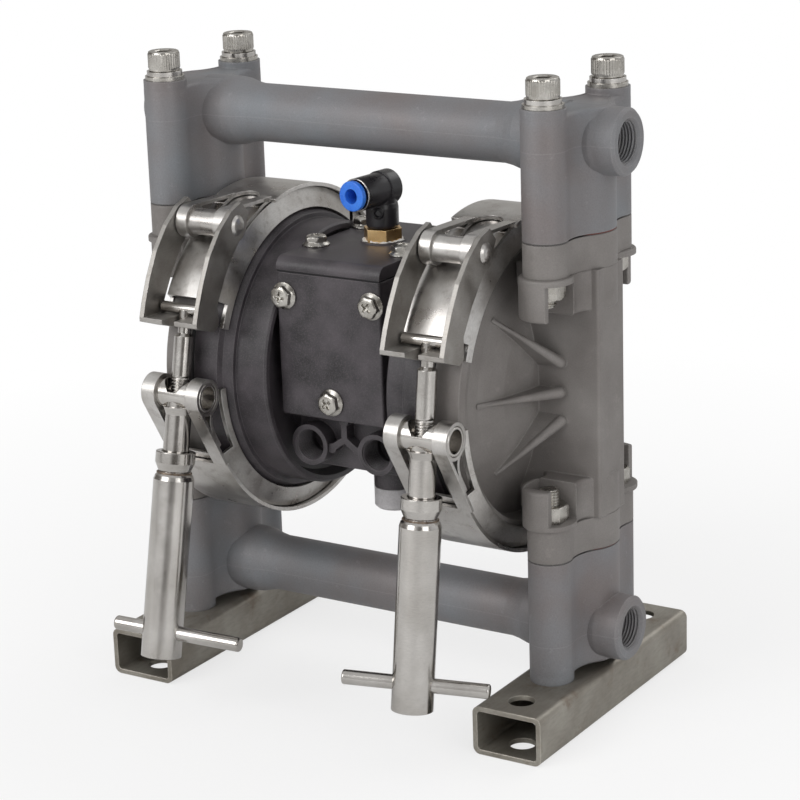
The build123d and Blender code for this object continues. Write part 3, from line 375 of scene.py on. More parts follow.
def dress_nodes() -> None:
    """Gives every CAD node its finish."""
    for finish, names in NODE_FINISH.items():
        for name in names:
            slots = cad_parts[name].data.materials
            slots.clear()
            slots.append(finish.material())
    left_out = set(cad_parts) - {name for names in NODE_FINISH.values() for name in names}
    LOG.info("CAD nodes without a finish: %s", sorted(left_out))


def surface(name: str, points: np.ndarray, finish: Finish, body: str, wrap_u: bool = True,
            wrap_v: bool = False, sharp_deg: float = 32.0) -> bpy.types.Object:
    """Makes a piece from grids of points, merges its poles and turns its faces outwards.

    Args:
        name: Name of the piece.
        points: Array of shape (copies, u, v, 3), or (u, v, 3) for one, in millimetres.
        finish: Finish of the piece.
        body: CAD body that the piece rides on.
        wrap_u: Whether the last row in u joins the first.
        wrap_v: Whether the last row in v joins the first.
        sharp_deg: Angle above which an edge stays sharp.

    Returns:
        The new object.
    """
    grids = points[None] if points.ndim == 3 else points
    copies, nu, nv, _ = grids.shape
    index = np.arange(copies * nu * nv).reshape(copies, nu, nv)
    index = np.concatenate([index, index[:, :1]], 1) if wrap_u else index
    index = np.concatenate([index, index[:, :, :1]], 2) if wrap_v else index
    quads = np.stack([index[:, :-1, :-1], index[:, 1:, :-1], index[:, 1:, 1:], index[:, :-1, 1:]], -1)
    return mesh_piece(name, grids.reshape(-1, 3), quads.reshape(-1, 4), finish, body, sharp_deg)


def mesh_piece(name: str, corners: np.ndarray, faces: np.ndarray, finish: Finish, body: str,
               sharp_deg: float) -> bpy.types.Object:
    """Makes an object from corners in millimetres and faces, clean and facing outwards.

    Args:
        name: Name of the piece.
        corners: Array of shape (n, 3).
        faces: Array of corner numbers, one row for each face.
        finish: Finish of the piece.
        body: CAD body that the piece rides on.
        sharp_deg: Angle above which an edge stays sharp.

    Returns:
        The new object.
    """
    data = bpy.data.meshes.new(name)
    data.from_pydata((corners * MM).tolist(), [], faces.tolist())
    work = bmesh.new()
    work.from_mesh(data)
    bmesh.ops.remove_doubles(work, verts=work.verts, dist=2e-6)
    bmesh.ops.dissolve_degenerate(work, edges=work.edges, dist=1e-7)
    bmesh.ops.recalc_face_normals(work, faces=work.faces)
    work.to_mesh(data)
    work.free()
    data.shade_smooth()
    data.set_sharp_from_angle(angle=math.radians(sharp_deg))
    data.materials.append(finish.material())
    piece = bpy.data.objects.new(name, data)
    bpy.context.scene.collection.objects.link(piece)
    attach(piece, body)
    LOG.info("%s: %d faces, rides on %s", name, len(data.polygons), body)
    return piece


def around(count: int) -> np.ndarray:
    """Angles of one turn, in radians, without the repeated last one."""
    return np.arange(count) * (2 * math.pi / count)


def hexagon(angle: np.ndarray, flats: float, corner: float = math.inf) -> np.ndarray:
    """Radius of a hexagon at each angle: half the flats over the cosine from the nearest flat's middle.

    Args:
        angle: Angles in radians.
        flats: Distance across the flats, in millimetres.
        corner: Radius that the corners are turned down to, where they are.

    Returns:
        Radius at each angle.
    """
    from_flat = (angle + math.pi / 6) % (math.pi / 3) - math.pi / 6
    return np.minimum(flats / 2 / np.cos(from_flat), corner)


def spun(radius: np.ndarray, height: np.ndarray, angle: np.ndarray) -> np.ndarray:
    """Points of a turned shape about Z, from its radius and height over (angle, station).

    Args:
        radius: Array of shape (angles, stations), or anything that spreads to it.
        height: The same for the height.
        angle: Angles in radians.

    Returns:
        Array of shape (angles, stations, 3).
    """
    shape = np.broadcast_shapes((len(angle), 1), np.shape(radius), np.shape(height))
    wide = angle[:, None]
    parts = (radius * np.cos(wide), radius * np.sin(wide), height)
    return np.stack([np.broadcast_to(part, shape) for part in parts], -1)


def ridge(turns: np.ndarray) -> np.ndarray:
    """Height of a 60 degree thread, from 0 in the root to 1 on the crest, as a clipped triangle wave."""
    saw = np.abs((turns % 1.0) - 0.5) * 2
    return np.clip(saw * 1.35 - 0.12, 0.0, 1.0)


def placed(points: np.ndarray, origin: tuple[float, float, float],
           matrix: np.ndarray | None = None) -> np.ndarray:
    """Turns points by a 3 by 3 matrix and moves them to an origin.

    Args:
        points: Points about their own origin, in millimetres.
        origin: Where that origin goes.
        matrix: Turn or mirroring that comes first, if any.

    Returns:
        The placed points.
    """
    turned = points if matrix is None else points @ matrix.T
    return turned + np.array(origin)


def tilt_x(degrees: float) -> np.ndarray:
    """Rotation about X by an angle, as a 3 by 3 matrix."""
    c, s = math.cos(math.radians(degrees)), math.sin(math.radians(degrees))
    return np.array([[1.0, 0.0, 0.0], [0.0, c, -s], [0.0, s, c]])


# Turns that lay a shape about Z along X, and along Y with its top towards the front.
Z_TO_X = np.array([[0.0, 0.0, 1.0], [0.0, 1.0, 0.0], [-1.0, 0.0, 0.0]])
Z_TO_FRONT = np.array([[1.0, 0.0, 0.0], [0.0, 0.0, -1.0], [0.0, 1.0, 0.0]])


@dataclass
class ManifoldScrews:
    """The eight M8 socket screws and their nuts, with knurled heads and real threads."""

    x: float = 87.5
    y: float = 26.0
    middle: float = 134.2
    upper_seat: float = 252.0
    lower_seat: float = 14.4
    upper_length: float = 80.0
    lower_length: float = 85.0
    head_r: float = 6.5
    head_h: float = 8.0
    socket_flats: float = 6.0
    thread_r: float = 4.0
    pitch: float = 1.25
    nut_flats: float = 13.0
    nut_h: float = 6.5
    nut_seat: float = 47.7
    thread_length: float = 22.0
    steps_per_turn: int = 10
    groove: float = 0.62
    knurls: int = 40
    knurl_depth: float = 0.22

    def screw(self, length: float) -> np.ndarray:
        """One screw with its head up and its seat at Z = 0.

        The radius at each station is a hexagon in the socket, a ring of knurls on the head, a plain circle on
        the shank and a helix of ridges on the thread, which tapers over its last millimetre.

        Args:
            length: Length under the head.

        Returns:
            Points over (angle, station).
        """
        angle = around(self.knurls * 4)
        wide = angle[:, None]
        key = hexagon(wide, self.socket_flats)
        knurl = self.knurl_depth * np.abs(np.sin(wide * self.knurls / 2))
        inner = [(key * 0.0, 3.6), (key * 0.6, 3.7), (key, 4.4), (key, 7.5), (key * 1.1, 7.9)]
        top = [(4.4 + 0 * key, self.head_h), (5.7 + 0 * key, self.head_h), (6.15 + 0 * key, 7.75),
               (6.28 + 0 * key, 7.2)]
        side = [(self.head_r - knurl, z) for z in (6.9, 6.5, 1.7, 1.3)]
        under = [(6.28 + 0 * key, 1.0), (6.28 + 0 * key, 0.25), (6.0 + 0 * key, 0.0), (4.4 + 0 * key, 0.0),
                 (self.thread_r + 0 * key, -0.4)]
        start = -(length - self.thread_length)
        steps = np.arange(0, self.thread_length * self.steps_per_turn / self.pitch)
        z = start - (steps * self.pitch / self.steps_per_turn)[None, :]
        depth = self.groove * (1 - ridge(z / self.pitch + wide / (2 * math.pi)))
        taper = np.clip(z + length, 0.0, 1.0)
        helix = (self.thread_r - depth) * (0.84 + 0.16 * taper)
        head = inner + top + side + under
        radius = np.concatenate([r for r, _ in head] + [helix, 0 * key], 1)
        level = np.concatenate([np.array([[v for _, v in head]]), z[:1], [[z[0, -1] - 0.05]]], 1)
        return spun(radius, level, angle)

    def nut(self) -> np.ndarray:
        """One nut on Z = 0: a hexagon whose corners are cut by a cone at both ends and whole between them."""
        angle = around(72)
        wide = angle[:, None]
        cone = self.nut_flats / 2
        bore = self.thread_r + 0.4
        stations = [(self.thread_r - 0.5, 0.5), (bore, 0.0), (cone, 0.0), (cone + 0.5, 0.3), (WHOLE, 0.75),
                    (WHOLE, self.nut_h - 0.75), (cone + 0.5, self.nut_h - 0.3), (cone, self.nut_h),
                    (bore, self.nut_h), (self.thread_r - 0.5, self.nut_h - 0.5)]
        radius = np.concatenate([hexagon(wide, self.nut_flats, limit) if limit > bore else limit + 0 * wide
                                 for limit, _ in stations], 1)
        return spun(radius, np.array([[z for _, z in stations]]), angle)

    def corners(self) -> list[tuple[float, float]]:
        """The four places of the screws in plan."""
        return [(sx * self.x, sy * self.y) for sx in (-1, 1) for sy in (-1, 1)]

    def build(self) -> None:
        """Builds the screws and nuts over their CAD nodes."""
        flip = np.diag([1.0, -1.0, -1.0])
        for row, length, seat, turn in (("upper", self.upper_length, self.upper_seat, None),
                                        ("lower", self.lower_length, self.lower_seat, flip)):
            shape = self.screw(length)
            screws = [placed(shape, (x, y, seat), turn) for x, y in self.corners()]
            piece = surface(f"socket_screws_{row}", np.stack(screws), ZINC, "frame")
            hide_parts(f"manifold_screws_{row}")
        nut = self.nut()
        high = self.middle + self.nut_seat - self.nut_h
        low = self.middle - self.nut_seat
        nuts = [placed(nut, (x, y, z)) for x, y in self.corners() for z in (high, low)]
        piece = surface("hexagon_nuts", np.stack(nuts), ZINC, "frame", wrap_v=True, sharp_deg=25.0)
        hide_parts("manifold_nuts")


@dataclass
class CoverScrews:
    """The seven M5 flange screws of the valve block and the top cover.

    A place is X and Z on the valve block, X and Y on the cover, and then the turn of the head in degrees.
    """

    front_y: float = -44.3
    cover_z: float = 184.5
    front: tuple[tuple[float, float, float], ...] = ((-20.4, 169.2, 10.0), (20.4, 169.2, 38.0),
                                                     (0.0, 127.6, 52.0))
    top: tuple[tuple[float, float, float], ...] = ((-20.4, -20.5, 20.0), (20.4, -20.5, 5.0),
                                                   (-20.4, 15.5, 47.0), (20.4, 15.5, 30.0))
    front_length: float = 30.0
    top_length: float = 11.0
    flats: float = 8.0
    flange_r: float = 5.5
    shank_r: float = 2.5
    dome_r: float = 3.45
    recess_half: float = 0.62
    recess_reach: float = 2.35
    recess_depth: float = 1.5

    def screw(self, length: float, turn_deg: float) -> np.ndarray:
        """One screw, seat at Z = 0: cross recess, domed hexagon, cone down to the flange, and the shank.

        The recess lowers the head's top where the point is close to either arm of the cross, and gets
        shallower outwards.

        Args:
            length: Length under the head.
            turn_deg: Turn of the head about its axis.

        Returns:
            Points over (angle, station).
        """
        angle = around(144)
        wide = angle[:, None] + math.radians(turn_deg)
        across = np.linspace(0.0, self.dome_r, 22)[None, :]
        x, y = np.abs(across * np.cos(wide)), np.abs(across * np.sin(wide))
        beside = np.clip((self.recess_half - np.minimum(x, y)) / 0.22, 0.0, 1.0)
        arm = beside * np.clip((self.recess_reach - np.maximum(x, y)) / 0.3, 0.0, 1.0)
        top_z = 4.55 - 0.035 * across ** 2 - arm * (self.recess_depth - 0.35 * across)
        shoulder = [(3.75, 4.0), (4.3, 3.7), (WHOLE, 3.3), (WHOLE, 2.0), (4.35, 1.75)]
        sides = [hexagon(wide, self.flats, limit) for limit, _ in shoulder]
        skirt = [(4.5, 1.45), (5.1, 1.0), (self.flange_r, 0.7), (self.flange_r, 0.25), (5.3, 0.0), (2.9, 0.0),
                 (self.shank_r, -0.4), (self.shank_r, -length), (0.0, -length)]
        radius = np.concatenate([across + 0 * wide] + sides + [r + 0 * wide for r, _ in skirt], 1)
        level = np.concatenate([top_z] + [z + 0 * wide for _, z in shoulder + skirt], 1)
        return spun(radius, level, angle)

    def build(self) -> None:
        """Builds both sets of screws over their CAD nodes, each head turned a little differently."""
        fronts = [placed(self.screw(self.front_length, turn), (x, self.front_y, z), Z_TO_FRONT)
                  for x, z, turn in self.front]
        tops = [placed(self.screw(self.top_length, turn), (x, y, self.cover_z)) for x, y, turn in self.top]
        for name, screws, node in (("flange_screws_front", fronts, "valve_block_screws"),
                                   ("flange_screws_top", tops, "top_cover_screws")):
            piece = surface(name, np.stack(screws), ZINC, "frame")
            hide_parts(node)


@dataclass
class PortThreads:
    """Pipe threads in the four manifold ports and the two front ports."""

    pitch: float = 1.337
    depth: float = 0.7
    stand_in: float = 0.02
    sink: float = 0.05
    manifold_r: float = 8.33
    manifold_reach: tuple[float, float] = (95.6, 108.9)
    axis_z: tuple[float, float] = (232.4, 36.0)
    front_r: float = 6.58
    front_reach: tuple[float, float] = (-37.8, -26.0)
    front_x: float = 15.8
    front_z: float = 106.0

    def sleeve(self, radius: float, start: float, end: float) -> np.ndarray:
        """Closed sleeve about Z whose inside is a thread: the crests stand in by the thread's depth.

        Args:
            radius: Radius of the drilled wall.
            start: Lower end.
            end: Upper end.

        Returns:
            Points over (angle, station).
        """
        angle = around(72)
        z = np.linspace(start, end, int((end - start) / self.pitch * 9))[None, :]
        lead = np.clip(np.minimum(z - start, end - z) / 1.2, 0.0, 1.0)
        crest = ridge(z / self.pitch - angle[:, None] / (2 * math.pi))
        inside = radius - self.stand_in - self.depth * lead * crest
        outside = radius + self.sink + 0 * angle[:, None] * z[:, ::-1]
        return spun(np.concatenate([inside, outside], 1), np.concatenate([z, z[:, ::-1]], 1), angle)

    def build(self) -> None:
        """Builds the threads of all six ports."""
        pipe = self.sleeve(self.manifold_r, *self.manifold_reach)
        mirror = np.diag([-1.0, 1.0, 1.0])
        for z, name in zip(self.axis_z, ("outlet_port_threads", "inlet_port_threads")):
            right = placed(pipe, (0.0, 0.0, z), Z_TO_X)
            piece = surface(name, np.stack([right, right @ mirror]), CAST, "frame", wrap_v=True)
        small = self.sleeve(self.front_r, -self.front_reach[1], -self.front_reach[0])
        fronts = [placed(small, (sx * self.front_x, 0.0, self.front_z), Z_TO_FRONT) for sx in (-1, 1)]
        piece = surface("front_port_threads", np.stack(fronts), MOULDED, "frame", wrap_v=True)


def offset(outline: np.ndarray, inward: float) -> np.ndarray:
    """Moves a closed outline inwards along its normals.

    Args:
        outline: Array of shape (points, 2), counter-clockwise.
        inward: Distance in millimetres.

    Returns:
        The moved outline.
    """
    along = np.roll(outline, -1, 0) - np.roll(outline, 1, 0)
    along /= np.linalg.norm(along, axis=1, keepdims=True)
    return outline + inward * np.stack([-along[:, 1], along[:, 0]], 1)


@dataclass
class BlockSkins:
    """Soft outer skin of the eight casting ends: the columns run into the ball housings in wide hollows.

    Each skin is a closed wall that lies on the casting, so the wells and bores inside it stay free.
    """

    x: float = 87.5
    column_y: float = 26.0
    middle: float = 134.2
    joint: float = 63.5
    wall: float = 2.4
    hollow_r: float = 17.0
    block_column_r: float = 8.84
    block_housing_r: float = 15.04
    block_end: float = 111.73
    block_round: float = 1.6
    block_gap: float = 0.4
    flange_column_r: float = 8.86
    flange_housing_r: float = 15.2
    flange_start: float = 50.05
    flange_round: float = 0.5
    flange_gap: float = 0.1
    lip_radii: tuple[float, float] = (14.0, 14.93)
    lip_span: tuple[float, float] = (-0.15, 0.45)

    def outline(self, column: float, housing: float) -> np.ndarray:
        """Plan of an end: a circle at each column and a larger one in the middle, joined by hollow arcs.

        The centre of a hollow arc is as far from both circles' centres as the sum of the radii, so that the
        arcs are tangent.

        Args:
            column: Radius at the screws.
            housing: Radius of the ball housing.

        Returns:
            Closed outline, counter-clockwise.
        """
        a, b, c = column + self.hollow_r, housing + self.hollow_r, self.column_y
        along = (c * c + a * a - b * b) / (2 * c)
        centre = np.array([math.sqrt(a * a - along * along), along - c])
        first = math.atan2(centre[1] + c, centre[0])
        last = math.atan2(centre[1], centre[0])
        parts = [(np.array([0.0, -c]), column, np.linspace(-math.pi / 2, first, 12)),
                 (centre, -self.hollow_r, np.linspace(first, last, 14)[1:-1]),
                 (np.array([0.0, 0.0]), housing, np.linspace(last, 0.0, 10))]
        quarter = np.concatenate([o + r * np.stack([np.cos(t), np.sin(t)], 1) for o, r, t in parts])
        right = np.concatenate([quarter, quarter[-2::-1] * [1.0, -1.0]])
        return np.concatenate([right, right[-2:0:-1] * [-1.0, 1.0]])

    def skin(self, plan: np.ndarray, low: float, high: float, round_top: float) -> np.ndarray:
        """Wall of one end, with a rounded upper edge.

        Args:
            plan: Outline of the end.
            low: Lower end, from the pump axis.
            high: Upper end.
            round_top: Radius of the upper edge.

        Returns:
            Points over (outline, station).
        """
        bend = np.linspace(0.0, math.pi / 2, 6)
        stations = [(0.0, low), (0.0, (low + high) / 2)]
        stations += [(round_top * (1 - math.cos(t)), high - round_top * (1 - math.sin(t))) for t in bend]
        stations += [(self.wall, high), (self.wall, low)]
        rings = [np.column_stack([offset(plan, inward), np.full(len(plan), z)]) for inward, z in stations]
        return np.stack(rings, 1)

    def build(self) -> None:
        """Builds the skins of the manifold blocks and of the chamber flanges."""
        block = self.skin(self.outline(self.block_column_r, self.block_housing_r),
                          self.joint + self.block_gap, self.block_end, self.block_round)
        flange = self.skin(self.outline(self.flange_column_r, self.flange_housing_r),
                           self.flange_start, self.joint - self.flange_gap, self.flange_round)
        for name, shape, finish, slot in (("manifold_block_skins", block, CAST, "cast_alloy"),
                                          ("chamber_flange_skins", flange, CHAMBER, "cast_alloy"),
                                          ("seal_lips", self.seal_lip(), RED_SEAL, "red_rubber")):
            copies = [placed(shape * [1.0, 1.0, level], (side * self.x, 0.0, self.middle))
                      for side in (1.0, -1.0) for level in (1.0, -1.0)]
            surface(name, np.stack(copies), finish, "frame", wrap_v=True)

    def seal_lip(self) -> np.ndarray:
        """Thin ring of the seal that shows in the gap at the housing: a square section turned about Z."""
        inner, outer = self.lip_radii
        low, high = self.lip_span
        radius = np.array([[inner, outer, outer, inner]])
        level = self.joint + np.array([[low, low, high, high]])
        return spun(radius, level, around(72))


@dataclass
class LatchLooks:
    """Bolt with a real thread, its cross head, and the weld at the neck of the handle.

    Heights run along the bolt from the tee's pivot.
    """

    side: Side
    middle_x: float
    pivot: tuple[float, float]
    tilt_deg: float
    reach: float
    neck_down: float = 11.0
    shank_r: float = 3.93
    neck_r: float = 2.65
    pitch: float = 1.25
    thread_end: float = 7.5
    lower_end: float = -46.0
    groove: float = 0.62
    head_r: float = 2.2
    head_half: float = 11.4
    head_round: float = 0.6
    weld_r: float = 6.72
    weld_height: float = -31.7
    weld_bead: float = 0.42

    def stand(self, points: np.ndarray) -> np.ndarray:
        """Moves points from the bolt's own axis to where the latch stands."""
        origin = (self.side.value * self.middle_x, *self.pivot)
        return placed(points, origin, tilt_x(-self.tilt_deg))

    def shank(self) -> np.ndarray:
        """Bolt about Z: a helix of ridges below, then the plain shank, the shoulder and the thin neck."""
        angle = around(48)
        wide = angle[:, None]
        z = np.arange(self.lower_end, self.thread_end, self.pitch / 9)[None, :]
        runout = np.clip((self.thread_end - z) / 1.5, 0.0, 1.0)
        thread = self.shank_r - self.groove * runout * (1 - ridge(z / self.pitch - wide / (2 * math.pi)))
        step = self.reach - self.neck_down
        top = [(self.shank_r, step), (self.neck_r + 0.25, step + 1.0), (self.neck_r, step + 1.3),
               (self.neck_r, self.reach - 0.5), (0.0, self.reach - 0.5)]
        radius = np.concatenate([0 * wide, thread] + [r + 0 * wide for r, _ in top], 1)
        level = np.concatenate([z[:, :1], z, np.array([[v for _, v in top]])], 1)
        return spun(radius, level, angle)

    def head(self) -> np.ndarray:
        """Round cross bar that lies in the yoke, with rounded ends."""
        bend = np.linspace(0.0, math.pi / 2, 6)
        end = [(self.head_r - self.head_round * (1 - math.sin(t)),
                self.head_half - self.head_round * (1 - math.cos(t))) for t in bend]
        stations = [(0.0, self.head_half)] + end
        radius = np.array([[r for r, _ in stations] + [r for r, _ in stations[::-1]]])
        level = np.array([[z for _, z in stations] + [-z for _, z in stations[::-1]]])
        return placed(spun(radius, level, around(32)), (0.0, 0.0, self.reach), Z_TO_X)

    def weld(self) -> np.ndarray:
        """Bead round the neck of the handle: a small torus whose section swells and sinks in scales."""
        angle = around(120)
        u, v = angle[:, None], around(12)[None, :]
        swell = self.weld_bead + 0.07 * np.sin(u * 26) + 0.05 * np.sin(u * 7 + 1.0)
        return spun(self.weld_r + swell * np.cos(v), self.weld_height + swell * np.sin(v), angle)

    def build(self) -> None:
        """Builds the pieces of this side and lets them ride on their bodies."""
        name = self.side.label
        shank = surface(f"threaded_bolt_{name}", self.stand(self.shank()), TURNED, f"bolt_{name}")
        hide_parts(f"t_bolt_{name}")
        head = surface(f"bolt_cross_head_{name}", self.stand(self.head()), TURNED, f"bolt_{name}")
        weld = surface(f"neck_weld_{name}", self.stand(self.weld()), WELD, f"handle_{name}", wrap_v=True)


@dataclass
class AirFitting:
    """Sealing tape under the brass nipple, and the moulded shape of the push-in elbow."""

    y: float = -2.5
    seat_z: float = 185.1
    axis_z: float = 206.0
    turn_deg: float = -7.0
    eye_deg: float = -72.0
    eye_z: float = 197.0
    eye_r: float = 2.35
    eye_height: float = 0.75
    eye_hole_r: float = 1.45
    eye_hole_depth: float = 1.3
    leg_r: float = 6.65
    leg_inner_r: float = 4.8
    barrel_reach: float = 15.5

    def tape(self) -> np.ndarray:
        """Crumpled ring of tape: its outer radius and its height wander round the nipple."""
        angle = around(180)
        u = angle[:, None]
        ragged = 0.35 * np.sin(5 * u + 0.6) + 0.28 * np.sin(11 * u) + 0.22 * np.sin(23 * u + 2.0)
        rise = 0.45 + 0.18 * np.sin(7 * u + 1.2) + 0.12 * np.sin(17 * u)
        zero = 0 * u
        radius = np.concatenate([6.4 + zero, 8.2 + ragged, 8.35 + ragged, 7.9 + 0.6 * ragged, 6.4 + zero], 1)
        level = np.concatenate([zero, zero, 0.12 + zero, rise, rise], 1)
        return placed(spun(radius, level, angle), (0.0, self.y, self.seat_z - 0.02))

    def leg(self) -> np.ndarray:
        """Upright leg of the elbow about Z: a rounded foot and shoulder, and a raised eye with a hole.

        The radius is that of the profile, plus the eye's rim and minus its hole by the distance to the eye's
        middle.
        """
        angle = around(220)
        z = np.linspace(190.3, 201.2, 64)[None, :]
        base = np.interp(z, [190.3, 190.8, 191.5, 198.4, 200.2, 201.2],
                         [6.0, 6.45, self.leg_r, self.leg_r, 6.35, 5.4])
        aside = (angle[:, None] - math.radians(self.eye_deg) + math.pi) % (2 * math.pi) - math.pi
        far = np.hypot(aside * self.leg_r, z - self.eye_z)
        rim = self.eye_height * np.clip((self.eye_r - far) / 0.5, 0.0, 1.0)
        hole = self.eye_hole_depth * np.clip((self.eye_hole_r - far) / 0.2, 0.0, 1.0)
        radius = np.concatenate([base + rim - hole, self.leg_inner_r + 0 * far[:, :2]], 1)
        level = np.concatenate([z, z[:, [-1, 0]]], 1)
        return placed(spun(radius, level, angle), (0.0, self.y, 0.0))

    def collar(self) -> np.ndarray:
        """Thin bright ring between the barrel and the release ring, turned with the elbow."""
        radius = np.array([[6.2, 6.55, 6.72, 6.72, 6.55, 6.2]])
        level = self.barrel_reach + np.array([[-0.2, -0.2, 0.0, 0.35, 0.5, 0.5]])
        c, n = math.cos(math.radians(self.turn_deg)), math.sin(math.radians(self.turn_deg))
        turn = np.array([[c, -n, 0.0], [n, c, 0.0], [0.0, 0.0, 1.0]])
        return placed(spun(radius, level, around(96)), (0.0, self.y, self.axis_z), turn @ Z_TO_FRONT)

    def build(self) -> None:
        """Builds the tape, the leg and the collar."""
        surface("sealing_tape", self.tape(), TAPE, "frame", wrap_v=True)
        surface("elbow_leg", self.leg(), NYLON, "elbow", wrap_v=True)
        surface("barrel_collar", self.collar(), TURNED, "elbow", wrap_v=True)


@dataclass
class Studio:
    """Camera, lamps, world and floor. A ramp's stops are a position from 0 to 1 and an sRGB colour."""

    azimuth_deg: float = 32.401
    elevation_deg: float = 16.616
    roll_deg: float = -1.893
    distance_mm: float = 1053.845
    focal_px: float = 2566.515
    image_px: int = 800
    target_mm: tuple[float, float, float] = (3.887, 0.0, 117.142)
    sensor_mm: float = 36.0
    world_level: float = 0.7
    panel_level: float = 0.9
    dome: tuple[tuple[float, str], ...] = ((0.30, "#B4B3B1"), (0.52, "#C4C3C2"), (1.0, "#EDEDED"))
    panels: tuple[tuple[float, str], ...] = (
        (0.0, "#BDBBB8"), (0.14, "#BDBBB8"), (0.24, "#84807C"), (0.34, "#8C8885"), (0.38, "#E6E6E6"),
        (0.51, "#EEEEEE"), (0.56, "#7C7976"), (0.69, "#757270"), (0.78, "#E6E7E9"), (0.88, "#F0F1F2"),
        (0.93, "#BDBBB8"), (1.0, "#BDBBB8"))
    ceiling: str = "#E4E4E4"
    floor_half: float = 6.0
    floor_drop: float = 0.0003

    def build(self) -> None:
        """Builds the whole studio."""
        self.camera()
        self.world()
        self.floor()
        self.lamp("key", (-0.7, -1.7, 1.2), 1.3, 20.0)
        self.lamp("fill", (1.7, -0.9, 0.7), 1.1, 9.0)
        self.lamp("rim", (0.4, 1.5, 1.5), 1.2, 7.0)
        bpy.context.scene.view_settings.view_transform = "Standard"

    def camera(self) -> None:
        """Places the camera that took the photo: it looks at the target, with a small roll."""
        a, e, r = (math.radians(v) for v in (self.azimuth_deg, self.elevation_deg, self.roll_deg))
        back = Vector((math.sin(a) * math.cos(e), -math.cos(a) * math.cos(e), math.sin(e)))
        right = Vector((math.cos(a), math.sin(a), 0.0))
        up = back.cross(right)
        right_rolled = math.cos(r) * right + math.sin(r) * up
        up_rolled = -math.sin(r) * right + math.cos(r) * up
        data = bpy.data.cameras.new("camera")
        data.sensor_width = self.sensor_mm
        data.lens = self.focal_px * self.sensor_mm / self.image_px
        data.clip_start = 0.05
        camera = bpy.data.objects.new("camera", data)
        turn = Matrix((right_rolled, up_rolled, back)).transposed().to_4x4()
        place = (Vector(self.target_mm) + back * self.distance_mm) * MM
        camera.matrix_world = Matrix.Translation(place) @ turn
        bpy.context.scene.collection.objects.link(camera)
        bpy.context.scene.camera = camera

    def world(self) -> None:
        """Surround: white to the camera, an even dome for soft light, and panels for the reflections.

        The panels follow each other round the object, bright and dark, under a bright ceiling.
        """
        world = bpy.data.worlds.new("studio")
        bpy.context.scene.world = world
        world.use_nodes = True
        tree = world.node_tree
        tree.nodes.clear()
        parts = add(tree, "SeparateXYZ", {"Vector": add(tree, "TexCoord").outputs["Generated"]}).outputs
        height = add(tree, "MapRange", {"Value": parts["Z"], "From Min": -1.0}).outputs["Result"]
        dome = self.ramp(tree, height, self.dome)
        light = add(tree, "Background", {"Color": dome, "Strength": self.world_level})
        ahead = add(tree, "Math", {0: parts["Y"], 1: -1.0}, operation="MULTIPLY").outputs["Value"]
        turn = add(tree, "Math", {0: parts["X"], 1: ahead}, operation="ARCTAN2").outputs["Value"]
        way = add(tree, "MapRange", {"Value": turn, "From Min": -math.pi, "From Max": math.pi})
        panels = self.ramp(tree, way.outputs["Result"], self.panels)
        high = add(tree, "MapRange", {"Value": parts["Z"], "From Min": 0.45, "From Max": 0.75})
        above = add(tree, "Mix", {0: high.outputs["Result"], 6: panels, 7: linear(self.ceiling)},
                    data_type="RGBA").outputs[2]
        mirrored = add(tree, "Background", {"Color": above, "Strength": self.panel_level})
        white = add(tree, "Background", {"Color": (1.0, 1.0, 1.0, 1.0), "Strength": 1.0})
        rays = add(tree, "LightPath").outputs
        soft = add(tree, "MixShader", {0: rays["Is Glossy Ray"], 1: light.outputs[0], 2: mirrored.outputs[0]})
        both = add(tree, "MixShader", {0: rays["Is Camera Ray"], 1: soft.outputs[0], 2: white.outputs[0]})
        add(tree, "OutputWorld", {"Surface": both.outputs[0]})

    def ramp(self, tree: NodeTree, value: NodeSocket,
             stops: tuple[tuple[float, str], ...]) -> NodeSocket:
        """Adds a colour ramp.

        Args:
            tree: Node tree of the world.
            value: Value from 0 to 1.
            stops: Position and sRGB colour of each stop, in order.

        Returns:
            The colour.
        """
        node = add(tree, "ValToRGB", {"Fac": value})
        ends = node.color_ramp.elements
        ends[0].position, ends[0].color = stops[0][0], linear(stops[0][1])
        ends[1].position, ends[1].color = stops[-1][0], linear(stops[-1][1])
        for place, code in stops[1:-1]:
            ends.new(place).color = linear(code)
        return node.outputs["Color"]

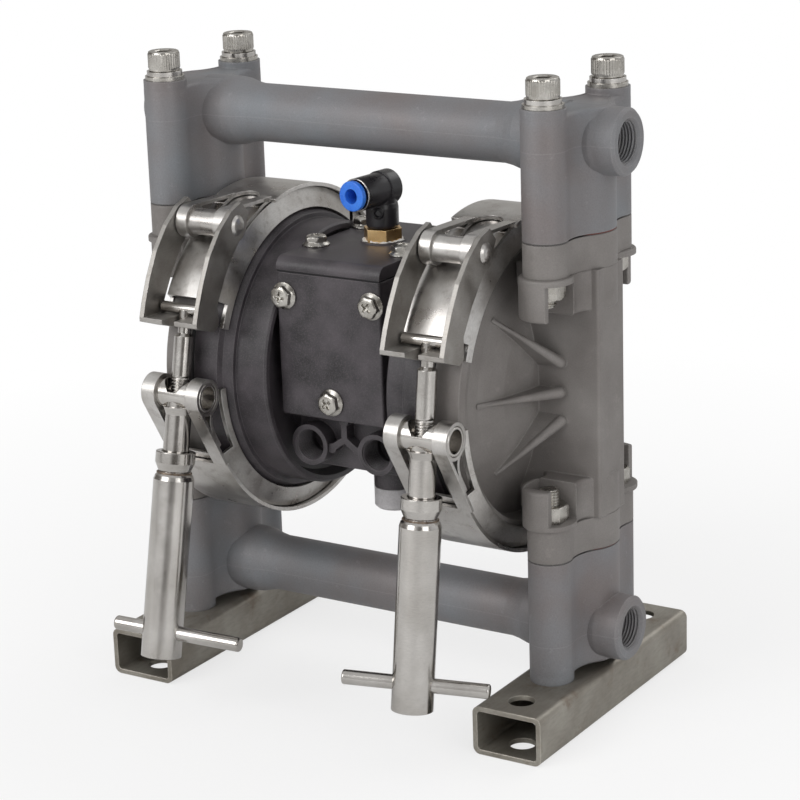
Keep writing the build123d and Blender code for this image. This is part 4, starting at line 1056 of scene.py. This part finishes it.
    def floor(self) -> None:
        """Pale floor that keeps the object's soft shadow and turns white away from it."""
        data = bpy.data.meshes.new("floor")
        half, low = self.floor_half, -self.floor_drop
        data.from_pydata([(-half, -half, low), (half, -half, low), (half, half, low), (-half, half, low)],
                         [], [(0, 1, 2, 3)])
        floor = bpy.data.objects.new("floor", data)
        bpy.context.scene.collection.objects.link(floor)
        material = bpy.data.materials.new("white_paper_floor")
        material.use_nodes = True
        tree = material.node_tree
        tree.nodes.clear()
        paper = add(tree, "BsdfPrincipled", {"Base Color": linear("#F4F4F4"), "Roughness": 0.9})
        glow = add(tree, "Emission", {"Color": (1.0, 1.0, 1.0, 1.0), "Strength": 1.0})
        paths = add(tree, "LightPath")
        spot = add(tree, "VectorMath", {0: add(tree, "TexCoord").outputs["Object"]}, operation="LENGTH")
        far = add(tree, "MapRange", {"Value": spot.outputs["Value"], "From Min": 0.16, "From Max": 0.5,
                                     "To Min": 0.72, "To Max": 1.0})
        seen = add(tree, "Math", {0: paths.outputs["Is Camera Ray"], 1: far.outputs["Result"]},
                   operation="MULTIPLY")
        both = add(tree, "MixShader", {0: seen.outputs["Value"], 1: paper.outputs[0], 2: glow.outputs[0]})
        add(tree, "OutputMaterial", {"Surface": both.outputs[0]})
        data.materials.append(material)

    def lamp(self, name: str, place: tuple[float, float, float], size: float, power: float) -> None:
        """Adds one large soft lamp that points at the pump.

        Args:
            name: Name of the lamp.
            place: Where it stands, in metres.
            size: Side of its square, in metres.
            power: Power in watts.
        """
        data = bpy.data.lights.new(name, "AREA")
        data.size = size
        data.energy = power
        lamp = bpy.data.objects.new(name, data)
        lamp.location = Vector(place)
        aim = Vector((0.0, 0.0, 0.13)) - lamp.location
        lamp.rotation_euler = aim.to_track_quat("-Z", "Y").to_euler()
        bpy.context.scene.collection.objects.link(lamp)


def main() -> None:
    logging.basicConfig(level=logging.INFO, format="%(name)s: %(message)s")
    dress_nodes()
    ManifoldScrews().build()
    CoverScrews().build()
    PortThreads().build()
    BlockSkins().build()
    LatchLooks(Side.RIGHT, 57.8, (-68.737, 128.186), 8.0, 36.7).build()
    LatchLooks(Side.LEFT, 56.0, (-69.305, 130.568), 12.2, 34.2).build()
    AirFitting().build()
    Studio().build()


if __name__ == "__main__":
    main()
